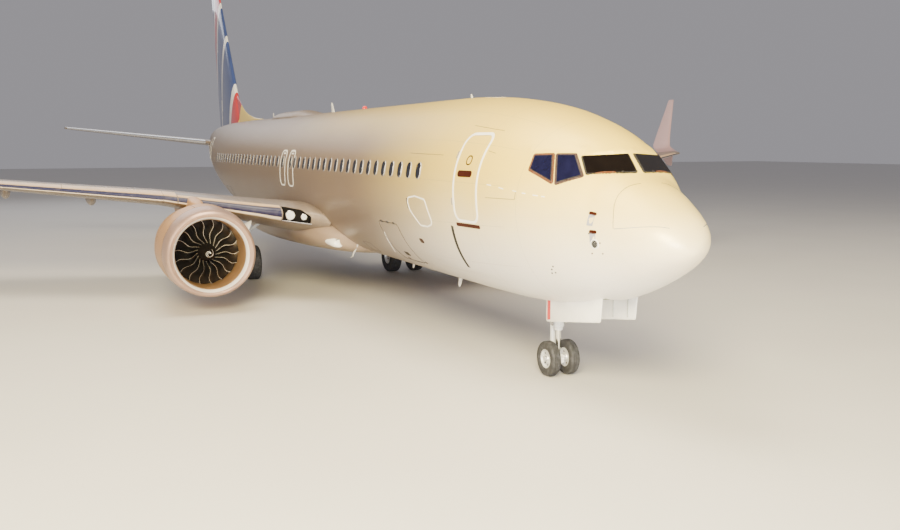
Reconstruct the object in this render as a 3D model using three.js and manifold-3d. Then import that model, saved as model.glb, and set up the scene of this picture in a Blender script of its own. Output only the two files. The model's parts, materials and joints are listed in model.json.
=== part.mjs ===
// A narrow-body twin-jet airliner standing on its landing gear.
// Millimetres. +X is to port, +Y aft, +Z up. The ground is z = 0, and the origin is
// under the middle of the overall length. A station is a distance aft of the nose tip.
import * as THREE from 'three';
import { mergeVertices } from 'three/addons/utils/BufferGeometryUtils.js';
import Module from 'manifold-3d';

const wasm = await Module();
wasm.setup();

// Overall
const LENGTH = 39520;
const SEMI_SPAN = 17960;
const HEIGHT = 12300;          // to the fin's tip
const BODY_MID = 3400;        // middle of the fuselage's depth, above the ground
const SEAT_GAP = 0.5;         // between pieces that rest on each other
const PANEL_GAP = 4;          // round the edge of a fixed door
const MOVING_GAP = 8;         // round a panel that moves
const END_GAP = 26;           // past each end of a control surface
const PIN = { radius: 14, reach: 60, sides: 12 };   // hinge pins at a control surface's ends
const FAR = 30000;            // reach of a cutting block
const FINEST = 0.05;          // no smaller step is kept in a solid

// Fuselage sections. Station, then crown, keel and widest line above BODY_MID, then half width.
const BODY_SIDES = 32;
const FUSELAGE = [
  { station: 0, crown: -590, keel: -620, waist: -600, half: 15 },
  { station: 40, crown: -416, keel: -706, waist: -540, half: 198 },
  { station: 120, crown: -282, keel: -791, waist: -526, half: 344 },
  { station: 300, crown: -98, keel: -923, waist: -498, half: 538 },
  { station: 600, crown: 105, keel: -1099, waist: -475, half: 725 },
  { station: 1000, crown: 326, keel: -1299, waist: -446, half: 892 },
  { station: 1500, crown: 567, keel: -1505, waist: -397, half: 1079 },
  { station: 1800, crown: 896, keel: -1606, waist: -351, half: 1186 },
  { station: 2200, crown: 1151, keel: -1709, waist: -255, half: 1326 },
  { station: 2700, crown: 1356, keel: -1808, waist: -128, half: 1465 },
  { station: 3300, crown: 1534, keel: -1896, waist: 0, half: 1581 },
  { station: 4000, crown: 1700, keel: -1958, waist: 95, half: 1672 },
  { station: 5000, crown: 1850, keel: -1997, waist: 135, half: 1768 },
  { station: 6200, crown: 1955, keel: -2005, waist: 140, half: 1855 },
  { station: 7800, crown: 2005, keel: -2005, waist: 125, half: 1880 },
  { station: 24500, crown: 2005, keel: -2005, waist: 125, half: 1880 },
  { station: 26500, crown: 2005, keel: -1900, waist: 137, half: 1868 },
  { station: 28500, crown: 2002, keel: -1590, waist: 212, half: 1790 },
  { station: 30500, crown: 1995, keel: -1120, waist: 355, half: 1640 },
  { station: 32500, crown: 1975, keel: -580, waist: 570, half: 1405 },
  { station: 34500, crown: 1925, keel: -30, waist: 845, half: 1080 },
  { station: 36300, crown: 1840, keel: 460, waist: 1100, half: 740 },
  { station: 37400, crown: 1730, keel: 780, waist: 1250, half: 480 },
  { station: 38300, crown: 1560, keel: 1060, waist: 1325, half: 235 },
];
const RADOME_SEAM = { station: 1060, lean: 0.33 };   // at BODY_MID, and its slope aft as it rises
const TAIL_CONE_START = 36300;
const EXHAUST = { radius: 150, depth: 300 };
// Aerial fairing on the crown. Its base is sunk into the skin, above BODY_MID.
const CREST = { from: 19300, to: 24700, half: 600, rise: 190, base: 1900, wall: 90 };

// Door sizes. The sill is above BODY_MID. A hinged door opens upwards.
const ENTRY = { width: 860, height: 1830, sill: -400, depth: 110, corner: 160 };
const SMALL_ENTRY = { width: 760, height: 1830, sill: -400, depth: 110, corner: 150 };
const SERVICE = { width: 760, height: 1650, sill: -400, depth: 110, corner: 150 };
const EXIT = { width: 510, height: 970, sill: -200, depth: 70, corner: 120, hinged: true };
const CARGO_FRONT = { width: 1220, height: 890, sill: -1650, depth: 90, corner: 90 };
const CARGO_REAR = { width: 1220, height: 840, sill: -1500, depth: 90, corner: 90 };
// An exit has room behind it, and rests on a ledge in its frame
const EXIT_STOP = { low: 60, high: 100, inset: 60, behind: 14 };
// Side 1 is port, -1 starboard
const DOORS = [
  { name: 'entry_door_front', side: 1, station: 4600, ...ENTRY },
  { name: 'service_door_front', side: -1, station: 4550, ...SERVICE },
  { name: 'entry_door_rear', side: 1, station: 32300, ...SMALL_ENTRY },
  { name: 'service_door_rear', side: -1, station: 32300, ...SERVICE },
  { name: 'overwing_exit_port_front', side: 1, station: 16650, ...EXIT },
  { name: 'overwing_exit_port_rear', side: 1, station: 17600, ...EXIT },
  { name: 'overwing_exit_starboard_front', side: -1, station: 16650, ...EXIT },
  { name: 'overwing_exit_starboard_rear', side: -1, station: 17600, ...EXIT },
  { name: 'cargo_door_front', side: -1, station: 8740, ...CARGO_FRONT },
  { name: 'cargo_door_rear', side: -1, station: 27000, ...CARGO_REAR },
];

// Wing-to-body fairing sections
const FAIRING = [
  { station: 12900, half: 700, top: -1400, bottom: -1960 },
  { station: 13900, half: 1640, top: -1050, bottom: -2030 },
  { station: 15000, half: 1960, top: -800, bottom: -2080 },
  { station: 17000, half: 2050, top: -700, bottom: -2170 },
  { station: 20400, half: 2050, top: -700, bottom: -2250 },
  { station: 22200, half: 1960, top: -900, bottom: -2190 },
  { station: 23700, half: 1500, top: -1250, bottom: -2080 },
  { station: 24600, half: 700, top: -1500, bottom: -1960 },
];
const WHEEL_WELL = { x: 800, station: 19800, radius: 620, roof: -1700 };

// Wing sections. Chord line height is above the ground, thickness a share of the chord.
const WING = [
  { x: 1500, lead: 13800, trail: 20950, z: 2310, thickness: 0.130, twist: 2.0 },
  { x: 3000, lead: 14950, trail: 20950, z: 2510, thickness: 0.122, twist: 1.6 },
  { x: 5600, lead: 16300, trail: 20950, z: 2890, thickness: 0.098, twist: 1.0 },
  { x: 11400, lead: 19335, trail: 22310, z: 3370, thickness: 0.084, twist: 0.0 },
  { x: 16400, lead: 21980, trail: 23500, z: 4000, thickness: 0.088, twist: -0.8 },
];
const SLAT = { from: 5250, to: 16150, chord: 0.13 };
const FLAPS = [
  { name: 'flap_inboard', from: 2150, to: 5250, chord: 0.23 },
  { name: 'flap_outboard', from: 5750, to: 12300, chord: 0.27 },
];
const AILERON = { from: 12700, to: 15900, chord: 0.27 };
const SPOILER = { from: 6300, to: 11350, front: 0.40, width: 700, skin: 25, slots: 3, ledge: [60, 110] };
const TRACKS = [
  { x: 3700, length: 2900 },
  { x: 7300, length: 2700 },
  { x: 9700, length: 2500 },
  { x: 12000, length: 2300 },
];
const TRACK_SIZE = { half: 150, depth: 430 };
const JACK_PAD = { x: 6100, station: 19200, bottom: 2660, radius: 75 };
// Winglet sections run from the wing tip up, and from its root down
const WINGLET_UP = [
  { x: 16400, z: 4000, lead: 21980, chord: 1520, thickness: 0.088, lean: 7 },
  { x: 16650, z: 4050, lead: 22450, chord: 1500, thickness: 0.085, lean: 22 },
  { x: 16830, z: 4150, lead: 22960, chord: 1400, thickness: 0.080, lean: 42 },
  { x: 16950, z: 4320, lead: 23420, chord: 1230, thickness: 0.080, lean: 58 },
  { x: 17080, z: 4600, lead: 23620, chord: 1080, thickness: 0.080, lean: 65 },
  { x: SEMI_SPAN - 15, z: 6370, lead: 24580, chord: 350, thickness: 0.080, lean: 66 },
];
const WINGLET_DOWN = [
  { x: 16830, z: 4120, lead: 23010, chord: 1230, thickness: 0.080, lean: -30 },
  { x: 17050, z: 3860, lead: 23330, chord: 900, thickness: 0.080, lean: -48 },
  { x: 17520, z: 3430, lead: 24020, chord: 330, thickness: 0.080, lean: -48 },
];

// Tail
const STABILISER = [
  { x: 300, lead: 33450, trail: 37010, z: 4400, thickness: 0.085, twist: 0 },
  { x: 7175, lead: 38200, trail: 39520, z: 5190, thickness: 0.085, twist: 0 },
];
const ELEVATOR = { from: 1150, to: 6700, chord: 0.30 };
const FIN = [
  { z: 5000, lead: 31900, trail: 37190, half: 230 },
  { z: 5600, lead: 32310, trail: 37320, half: 225 },
  { z: HEIGHT, lead: 37150, trail: 38700, half: 65 },
];
// Fillet ahead of the fin: its edge rises through these places, and it ends inside the fin
const DORSAL = [
  { z: 5000, from: 26300 },
  { z: 5410, from: 27700 },
  { z: 5500, from: 29300 },
  { z: 5800, from: 31200 },
  { z: 6600, from: 33000 },
];
const DORSAL_END = { to: 33700, half: 110 };
const RUDDER = { bottom: 5750, top: 12050, chord: 0.30 };

// Engine, about its own axis
const ENGINE = { x: 4830, z: 1560, fanStation: 14290 };
const ENGINE_SIDES = 24;
const SLEEVE_SIDES = 36;      // two to a chevron
const CORE_SIDES = 18;
// Distance aft of the fan plane, then radius. The cowl's outside is flattened below and raised above.
const COWL_OUTER = [[-935, 1060], [-905, 1105], [-780, 1142], [-450, 1172], [400, 1183], [1300, 1150]];
const COWL_INNER = [[1300, 1000], [700, 900], [0, 884], [-550, 892], [-780, 935], [-900, 1010]];
const SLEEVE_OUTER = [[1305, 1149], [2150, 1050], [2700, 925], [2850, 890]];
const SLEEVE_INNER = [[2850, 878], [2700, 905], [1305, 1000]];
const CHEVRON_DEPTH = 120;
const WIDE = 1.015;
const LOW = 0.968;
const COWL_RISE = [1, 1, 1.02, 1.055, 1.065];   // for each row of COWL_OUTER but the last
const CORE = [[420, 430], [1100, 520], [1900, 640], [2700, 610], [3300, 500], [3800, 400]];
const PLUG = [[3500, 200], [3600, 260], [3900, 220], [4200, 110], [4340, 20]];
const NOZZLE_BORE = { radius: 350, from: 3600 };
const FAN = { blades: 18, hub: 262, tip: 868, hubFront: -190, hubRear: 150, spinnerTip: -560 };
const BLADE = [
  { radius: 235, chord: 300, stagger: 28, sweep: 0, lean: 0, thickness: 30 },
  { radius: 560, chord: 360, stagger: 48, sweep: -20, lean: 11, thickness: 18 },
  { radius: 868, chord: 345, stagger: 62, sweep: 45, lean: 8, thickness: 9 },
];
const SHAFT_RADIUS = 70;
const PYLON = [
  { station: 14850, half: 60, top: 2740, bottom: 2560 },
  { station: 15500, half: 170, top: 2860, bottom: 2500 },
  { station: 16500, half: 200, top: 2950, bottom: 1990 },
  { station: 17600, half: 190, top: 2950, bottom: 2050 },
  { station: 18700, half: 130, top: 2850, bottom: 2200 },
  { station: 19700, half: 40, top: 2700, bottom: 2430 },
];

// Landing gear. A wheel stands on one flat of its outline, as a loaded tyre does.
const WHEEL_SIDES = 20;
const loadedHeight = (radius) => radius * Math.cos(Math.PI / WHEEL_SIDES);
const NOSE_GEAR = { station: 4010, axle: loadedHeight(343), pistonTop: 880, leg: 78, piston: 48, collar: 105 };
const COLLAR_GAP = 3;         // between the steering collar and the leg it turns on
const NOSE_WHEEL = { x: 205, radius: 343, width: 197, rim: 170, axle: 42 };
const TOW_FITTING = { half: 45, reach: 150, low: 270, high: 370 };
const NOSE_BAY = { half: 330, from: 1900, to: 4350, roof: -1430 };
const NOSE_DOOR = { x: 345, from: 1950, to: 3850, frontBottom: 1380, rearBottom: 1095, top: -1480, thickness: 22 };
const MAIN_GEAR = { x: 2860, station: 19610, axle: loadedHeight(565), pistonTop: 1120, leg: 130, piston: 88 };
const MAIN_WHEEL = { x: 430, radius: 565, width: 420, rim: 270, axle: 62 };

const at = (x, station, z) => new THREE.Vector3(x, station - LENGTH / 2, z);
const rad = THREE.MathUtils.degToRad;
const AXLE_SIDES = 16;
// Sleeve bore that clears a turning axle all round by the seat gap
const boreFor = (axle) => (axle + SEAT_GAP) / Math.cos(Math.PI / AXLE_SIDES);

// Solids
function solid(geometry) {
  const bare = geometry.clone();
  bare.deleteAttribute('normal');
  bare.deleteAttribute('uv');
  const merged = mergeVertices(bare, 1e-3);
  return new wasm.Manifold(new wasm.Mesh({
    numProp: 3,
    vertProperties: new Float32Array(merged.attributes.position.array),
    triVerts: new Uint32Array(merged.index.array),
  }));
}

function geometryOf(body) {
  const made = body.asOriginal().simplify(FINEST).getMesh();
  const geometry = new THREE.BufferGeometry();
  geometry.setAttribute('position', new THREE.BufferAttribute(new Float32Array(made.vertProperties), 3));
  geometry.setIndex([...made.triVerts]);
  return geometry;
}

// Skin over rings of points that run the same way round, closed by a fan at each end,
// or joined end to end where the rings close on themselves
function skin(rings, closed = false) {
  const sides = rings[0].length;
  const points = rings.flat().flatMap((p) => [p.x, p.y, p.z]);
  const index = [];
  const spans = closed ? rings.length : rings.length - 1;
  for (let i = 0; i < spans; i += 1) {
    const near = i * sides;
    const far = ((i + 1) % rings.length) * sides;
    for (let j = 0; j < sides; j += 1) {
      const k = (j + 1) % sides;
      index.push(near + j, near + k, far + k, near + j, far + k, far + j);
    }
  }
  if (!closed) {
    [0, rings.length - 1].forEach((i, end) => {
      const centre = new THREE.Vector3();
      rings[i].forEach((p) => centre.addScaledVector(p, 1 / sides));
      const c = points.length / 3;
      points.push(centre.x, centre.y, centre.z);
      for (let j = 0; j < sides; j += 1) {
        const a = i * sides + j;
        const b = i * sides + ((j + 1) % sides);
        index.push(c, ...(end ? [a, b] : [b, a]));
      }
    });
  }
  let volume = 0;
  const v = (n) => new THREE.Vector3(...points.slice(3 * n, 3 * n + 3));
  for (let i = 0; i < index.length; i += 3) {
    volume += v(index[i]).dot(v(index[i + 1]).cross(v(index[i + 2])));
  }
  if (volume < 0) index.reverse();
  const geometry = new THREE.BufferGeometry();
  geometry.setAttribute('position', new THREE.Float32BufferAttribute(points, 3));
  geometry.setIndex(index);
  return solid(geometry);
}

// Block over a flat outline in two of the axes, drawn out along the third
function block(along, outline, from, to) {
  const place = {
    x: ([y, z], x) => at(x, y, z),
    y: ([x, z], y) => at(x, y, z),
    z: ([x, y], z) => at(x, y, z),
  }[along];
  return skin([from, to].map((end) => outline.map((p) => place(p, end))));
}

const box = (x0, x1, s0, s1, z0, z1) => block('z', [[x0, s0], [x1, s0], [x1, s1], [x0, s1]], z0, z1);

function rod(from, to, radius, endRadius = radius, sides = 10) {
  const along = new THREE.Vector3().subVectors(to, from);
  const geometry = new THREE.CylinderGeometry(endRadius, radius, along.length(), sides);
  geometry.applyQuaternion(new THREE.Quaternion().setFromUnitVectors(
    new THREE.Vector3(0, 1, 0), along.clone().normalize()));
  const middle = new THREE.Vector3().addVectors(from, to).multiplyScalar(0.5);
  geometry.translate(middle.x, middle.y, middle.z);
  return solid(geometry);
}

// A pin, or the bore for it, across the gap at each end of a hinge line
function hingePins(hinge, bore) {
  const along = new THREE.Vector3().subVectors(hinge[1], hinge[0]).normalize();
  const radius = bore ? (PIN.radius + SEAT_GAP) / Math.cos(Math.PI / PIN.sides) : PIN.radius;
  const inside = PIN.reach + (bore ? SEAT_GAP : 0);
  const outside = END_GAP + PIN.reach;
  const pin = (end, way) => rod(end.clone().addScaledVector(along, way * inside),
    end.clone().addScaledVector(along, -way * outside), radius, radius, PIN.sides);
  return pin(hinge[0], 1).add(pin(hinge[1], -1));
}

// The main body of a solid that its neighbours have cut through
const largest = (body) => body.decompose().sort((a, b) => b.volume() - a.volume())[0];

function roundedOutline(centre, low, width, height, corner) {
  const outline = [];
  const turns = [[1, 1, 0], [-1, 1, 90], [-1, -1, 180], [1, -1, 270]];
  turns.forEach(([sy, sz, start]) => {
    [0, 45, 90].forEach((step) => {
      const angle = rad(start + step);
      outline.push([
        centre + sy * (width / 2 - corner) + corner * Math.cos(angle),
        low + height / 2 + sz * (height / 2 - corner) + corner * Math.sin(angle),
      ]);
    });
  });
  return outline;
}

// Fuselage
function bodySection(row, inset) {
  const ring = [];
  for (let i = 0; i < BODY_SIDES; i += 1) {
    const angle = (2 * Math.PI * i) / BODY_SIDES;
    const up = Math.sin(angle);
    const reach = up > 0 ? row.crown - row.waist : row.waist - row.keel;
    ring.push(at((row.half - inset) * Math.cos(angle), row.station,
      BODY_MID + row.waist + Math.max(reach - inset, 1) * up));
  }
  return ring;
}

const bodySolid = (inset, rows = FUSELAGE) => skin(rows.map((row) => bodySection(row, inset)));

// The doors' span of the fuselage, for cutting out panels as thick as a door
const doorRows = FUSELAGE.filter((row) => row.station > 2500 && row.station < 36000);
const slice = (from, to) => box(-FAR, FAR, from, to, -FAR, FAR);

// Block ahead of the radome's slanted seam
function aheadOfSeam(gap) {
  const edge = (z) => [RADOME_SEAM.station + gap + RADOME_SEAM.lean * z, BODY_MID + z];
  return block('x', [[-1000, BODY_MID - 3000], edge(-3000), edge(3000), [-1000, BODY_MID + 3000]], -FAR, FAR);
}

function crestSolid() {
  const rows = [0, 0.2, 0.4, 0.75, 0.93, 1];
  const rises = [0.02, 0.5, 1, 1, 0.8, 0.02];
  return skin(rows.map((share, i) => {
    const ring = [];
    for (let k = 0; k <= 8; k += 1) {
      const angle = (Math.PI * k) / 8;
      ring.push(at(CREST.half * (0.55 + 0.45 * rises[i]) * Math.cos(angle),
        CREST.from + share * (CREST.to - CREST.from),
        BODY_MID + CREST.base + (CREST.wall + CREST.rise * rises[i]) * Math.sin(angle)));
    }
    return ring;
  }));
}

const wholeBody = bodySolid(0);
const bodyWithGap = bodySolid(-SEAT_GAP);

function doorBlock(door, margin) {
  const outline = roundedOutline(door.station, BODY_MID + door.sill - margin, door.width + 2 * margin,
    door.height + 2 * margin, door.corner);
  return block('x', outline, door.side * 500, door.side * 2100);
}

// An upward opening door turns about its outer top edge
function topHinge(door) {
  const row = rowAt(FUSELAGE, door.station, 'station');
  const top = door.sill + door.height;
  const x = door.side * row.half * Math.cos(Math.asin((top - row.waist) / (row.crown - row.waist)));
  return [-1, 1].map((end) => at(x, door.station + end * door.width / 2, BODY_MID + top));
}

// A fixed door rests on its frame all over, a hinged one on a ledge near its sill
function doorPocket(door) {
  const seated = bodySolid(door.depth + SEAT_GAP, doorRows);
  if (!door.hinged) return doorBlock(door, PANEL_GAP).subtract(seated);
  const reach = door.width / 2 - EXIT_STOP.inset;
  const sill = BODY_MID + door.sill;
  const ledge = box(-FAR, FAR, door.station - reach, door.station + reach,
    sill + EXIT_STOP.low, sill + EXIT_STOP.high).intersect(seated);
  return doorBlock(door, MOVING_GAP).subtract(bodySolid(door.depth + EXIT_STOP.behind, doorRows)).subtract(ledge);
}

const doors = DOORS.map((door) => ({
  ...door,
  panel: doorBlock(door, 0).intersect(wholeBody).subtract(bodySolid(door.depth, doorRows)),
  pocket: doorPocket(door),
  hinge: door.hinged ? topHinge(door) : null,
}));

function fuselageSolid() {
  let body = wholeBody.intersect(slice(-1000, TAIL_CONE_START - SEAT_GAP)).subtract(aheadOfSeam(SEAT_GAP));
  body = body.add(crestSolid());
  doors.forEach((door) => { body = body.subtract(door.pocket); });
  const bay = NOSE_BAY;
  body = body.subtract(box(-bay.half, bay.half, bay.from, bay.to, 0, BODY_MID + bay.roof));
  [1, -1].forEach((side) => { body = body.subtract(wellSolid(side)); });
  return body;
}

function wellSolid(side) {
  const { x, station, radius, roof } = WHEEL_WELL;
  return rod(at(side * x, station, 500), at(side * x, station, BODY_MID + roof), radius, radius, 24);
}

const radomeSolid = () => wholeBody.intersect(aheadOfSeam(0));

function tailConeSolid() {
  const end = FUSELAGE[FUSELAGE.length - 1];
  const z = BODY_MID + (end.crown + end.keel) / 2;
  const exhaust = rod(at(0, end.station - EXHAUST.depth, z), at(0, end.station + 100, z),
    EXHAUST.radius, EXHAUST.radius, 20);
  return wholeBody.intersect(slice(TAIL_CONE_START, LENGTH)).subtract(exhaust);
}

// The fairing's sections are ellipses drawn towards a box
function fairingShape(grow) {
  const count = 20;
  const squared = (value) => Math.sign(value) * Math.abs(value) ** 0.78;
  return skin(FAIRING.map((row) => {
    const ring = [];
    const middle = (row.top + row.bottom) / 2;
    const rise = (row.top - row.bottom) / 2 + grow;
    for (let i = 0; i < count; i += 1) {
      const angle = (2 * Math.PI * (i + 0.5)) / count;
      ring.push(at((row.half + grow) * squared(Math.cos(angle)), row.station,
        BODY_MID + middle + rise * squared(Math.sin(angle))));
    }
    return ring;
  }));
}

function fairingSolid() {
  let body = fairingShape(0).subtract(bodyWithGap);
  [1, -1].forEach((side) => { body = body.subtract(wellSolid(side)); });
  return body;
}

// Lifting surfaces
const CHORD_SHARES = [0, 0.015, 0.06, 0.16, 0.32, 0.55, 0.78, 1];
const TRAILING_THICKNESS = 0.0022;

const halfThickness = (share) => 5 * (0.2969 * Math.sqrt(share) - 0.126 * share - 0.3516 * share ** 2
  + 0.2843 * share ** 3 - 0.1036 * share ** 4) + TRAILING_THICKNESS * 5;

function aerofoil() {
  const upper = CHORD_SHARES.map((share) => [share, halfThickness(share)]);
  const lower = CHORD_SHARES.slice(1).map((share) => [share, -halfThickness(share)]).reverse();
  return [...upper, ...lower];
}

// One section across the span: mirrored by side, turned up by its twist about its leading edge
function wingSection(row, side) {
  const chord = row.trail - row.lead;
  return aerofoil().map(([share, half]) => {
    const drop = Math.tan(rad(row.twist)) * share * chord;
    return at(side * row.x, row.lead + share * chord, row.z + half * row.thickness * chord - drop);
  });
}

// A table's values between two of its rows
function rowAt(rows, place, key = 'x') {
  let i = 0;
  while (i < rows.length - 2 && place > rows[i + 1][key]) i += 1;
  const share = (place - rows[i][key]) / (rows[i + 1][key] - rows[i][key]);
  const mixed = {};
  Object.keys(rows[i]).forEach((name) => {
    mixed[name] = rows[i][name] + share * (rows[i + 1][name] - rows[i][name]);
  });
  return mixed;
}

// A place on the chord line of a wing-like surface, some share of the chord forward of its trailing edge
function chordPoint(rows, x, chordFromTrail) {
  const row = rowAt(rows, x);
  const chord = row.trail - row.lead;
  const share = 1 - chordFromTrail;
  return { x, station: row.lead + share * chord, z: row.z - Math.tan(rad(row.twist)) * share * chord,
    half: halfThickness(share) * row.thickness * chord };
}

// Outline in plan of a strip behind the line from a to b, square to it at both ends
function stripOutline(a, b, forward, width, endMargin, side) {
  const along = new THREE.Vector2(b[0] - a[0], b[1] - a[1]).normalize();
  const aft = new THREE.Vector2(-along.y, along.x);
  if (aft.y < 0) aft.negate();
  const corner = (p, end, back) => [side * (p[0] + end * along.x + back * aft.x),
    p[1] + end * along.y + back * aft.y];
  return [corner(a, -endMargin, -forward[0]), corner(b, endMargin, -forward[1]),
    corner(b, endMargin, width), corner(a, -endMargin, width)];
}

// A control surface with a round nose on its hinge line, and the room to cut for it
function hingedSurface(whole, rows, spec, side) {
  const a = chordPoint(rows, spec.from, spec.chord);
  const b = chordPoint(rows, spec.to, spec.chord);
  const ends = [[a.x, a.station], [b.x, b.station]];
  const strip = block('z', stripOutline(...ends, [0, 0], 2500, 0, side), -FAR, FAR);
  const reach = [a.half + MOVING_GAP, b.half + MOVING_GAP];
  const room = block('z', stripOutline(...ends, reach, 2500, END_GAP, side), -FAR, FAR);
  const hinge = [at(side * a.x, a.station, a.z), at(side * b.x, b.station, b.z)];
  const nose = rod(...hinge, a.half, b.half, 16);
  const moving = whole.intersect(strip).add(nose).subtract(hingePins(hinge, true));
  return { moving, fixed: (body) => body.subtract(room).add(hingePins(hinge, false)), hinge };
}

// A fixed panel along the leading or trailing edge, and the room to cut for it
function edgePanel(whole, spec, leading, side) {
  const edge = (x, reach) => {
    const row = rowAt(WING, x);
    const chord = row.trail - row.lead;
    return leading ? row.lead + reach * chord : row.trail - reach * chord;
  };
  const away = leading ? -500 : 500;
  const make = (margin) => {
    const from = spec.from - margin;
    const to = spec.to + margin;
    const back = leading ? margin : -margin;
    return block('z', [
      [side * from, edge(spec.from, 0) + away],
      [side * to, edge(spec.to, 0) + away],
      [side * to, edge(spec.to, spec.chord) + back],
      [side * from, edge(spec.from, spec.chord) + back],
    ], 0, FAR);
  };
  return { moving: whole.intersect(make(0)), room: make(SEAT_GAP), wide: make(MOVING_GAP) };
}

// The spoilers are one skin panel hinged at its front edge, which ends short of the flap.
// At rest it lies on a ledge that its hinge brackets stand on.
function spoilerPanel(whole, flap, side) {
  const a = chordPoint(WING, SPOILER.from, SPOILER.front);
  const b = chordPoint(WING, SPOILER.to, SPOILER.front);
  const ends = [[a.x, a.station], [b.x, b.station]];
  const strip = (forward, width, margin) => block('z',
    stripOutline(...ends, [forward, forward], width, margin, side), -FAR, FAR);
  const cut = (over, depth) => whole.intersect(over).subtract(whole.translate(0, 0, -depth));
  let moving = cut(strip(0, SPOILER.width, 0), SPOILER.skin).subtract(flap.wide);
  const rise = (b.station - a.station) / (b.x - a.x);
  const slotHalf = 5;
  for (let i = 1; i <= SPOILER.slots; i += 1) {
    const x = a.x + (i / (SPOILER.slots + 1)) * (b.x - a.x);
    const edge = (off) => [x + off, a.station + rise * (x + off - a.x)];
    moving = moving.subtract(block('z',
      stripOutline(edge(-slotHalf), edge(slotHalf), [-60, -60], SPOILER.width + 50, 0, side), -FAR, FAR));
  }
  const ledge = strip(-SPOILER.ledge[0], SPOILER.ledge[1], 0);
  const room = cut(strip(MOVING_GAP, SPOILER.width + MOVING_GAP, MOVING_GAP), SPOILER.skin + MOVING_GAP)
    .subtract(ledge.intersect(whole.translate(0, 0, -SPOILER.skin - SEAT_GAP)));
  const hinge = [at(side * a.x, a.station, a.z + a.half), at(side * b.x, b.station, b.z + b.half)];
  return { moving, room: room.add(room.translate(0, 0, MOVING_GAP)), hinge };
}

function trackFairing(track, side) {
  const end = rowAt(WING, track.x);
  const rear = end.trail + 350;
  const shares = [0, 0.12, 0.35, 0.65, 0.9, 1];
  const sizes = [0.08, 0.6, 1, 0.9, 0.45, 0.05];
  return skin(shares.map((share, i) => {
    const station = rear - (1 - share) * track.length;
    const under = chordPoint(WING, track.x, Math.max((end.trail - station) / (end.trail - end.lead), 0));
    const half = TRACK_SIZE.half * sizes[i];
    const rise = TRACK_SIZE.depth * 0.5 * sizes[i];
    const middle = under.z - under.half * 0.5 - TRACK_SIZE.depth * 0.42 * sizes[i];
    const ring = [];
    for (let k = 0; k < 8; k += 1) {
      const angle = (2 * Math.PI * k) / 8;
      ring.push(at(side * track.x + half * Math.cos(angle), station, middle + rise * Math.sin(angle)));
    }
    return ring;
  }));
}

// Leaves a gap ahead of, behind, above and below another piece
function clearOf(body, other, gap) {
  const shifts = [-gap, 0, gap];
  const moves = shifts.flatMap((y) => shifts.map((z) => [0, y, z]));
  return moves.reduce((left, move) => left.subtract(other.translate(...move)), body);
}

function wingParts(side) {
  const tag = side > 0 ? 'port' : 'starboard';
  const whole = skin(WING.map((row) => wingSection(row, side)))
    .subtract(fairingShape(SEAT_GAP)).subtract(bodyWithGap);
  const slat = edgePanel(whole, SLAT, true, side);
  const aileron = hingedSurface(whole, WING, AILERON, side);
  const flaps = FLAPS.map((spec) => ({ ...edgePanel(whole, spec, false, side), name: spec.name }));
  const spoiler = spoilerPanel(whole, flaps[1], side);
  let wing = aileron.fixed(whole.subtract(slat.room));
  flaps.forEach((flap) => { wing = wing.subtract(flap.room); });
  TRACKS.forEach((track) => { wing = wing.add(trackFairing(track, side)); });
  flaps.forEach((flap) => { wing = clearOf(wing, flap.moving, SEAT_GAP); });
  const pad = JACK_PAD;
  wing = wing.subtract(spoiler.room).add(rod(at(side * pad.x, pad.station, pad.bottom),
    at(side * pad.x, pad.station, pad.bottom + 150), pad.radius, pad.radius, 12));
  return [
    [`wing_${tag}`, wing, 'skin'],
    [`slats_${tag}`, slat.moving, 'bright'],
    ...flaps.map((flap) => [`${flap.name}_${tag}`, flap.moving, 'wingGrey']),
    [`aileron_${tag}`, aileron.moving, 'wingGrey', aileron.hinge],
    [`spoilers_${tag}`, spoiler.moving, 'wingGrey', spoiler.hinge],
    [`winglet_${tag}`, wingletSolid(side), 'skin'],
  ];
}

// A winglet section leans up or down from level by its lean, about its leading edge
function wingletSection(row, side) {
  const lean = rad(row.lean);
  return aerofoil().map(([share, half]) => {
    const off = half * row.thickness * row.chord;
    const station = row.lead + share * row.chord;
    return at(side * (row.x - off * Math.sin(lean)), station, row.z + off * Math.cos(lean));
  });
}

function wingletSolid(side) {
  const tip = WING[WING.length - 1];
  return skin(WINGLET_UP.map((row) => wingletSection(row, side)))
    .add(skin(WINGLET_DOWN.map((row) => wingletSection(row, side))))
    .subtract(box(side * (tip.x - 2000), side * (tip.x + SEAT_GAP), 20000, 26000, 2000, 6000));
}

// Tail
function tailPlane(side) {
  const tag = side > 0 ? 'port' : 'starboard';
  const whole = skin(STABILISER.map((row) => wingSection(row, side))).subtract(bodyWithGap);
  const elevator = hingedSurface(whole, STABILISER, ELEVATOR, side);
  return [
    [`stabiliser_${tag}`, elevator.fixed(whole), 'wingGrey'],
    [`elevator_${tag}`, elevator.moving, 'wingGrey', elevator.hinge],
  ];
}

function finSection(row) {
  const chord = row.trail - row.lead;
  const thickness = (2 * row.half) / chord;
  return aerofoil().map(([share, half]) => at(half * thickness * chord, row.lead + share * chord, row.z));
}

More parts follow.
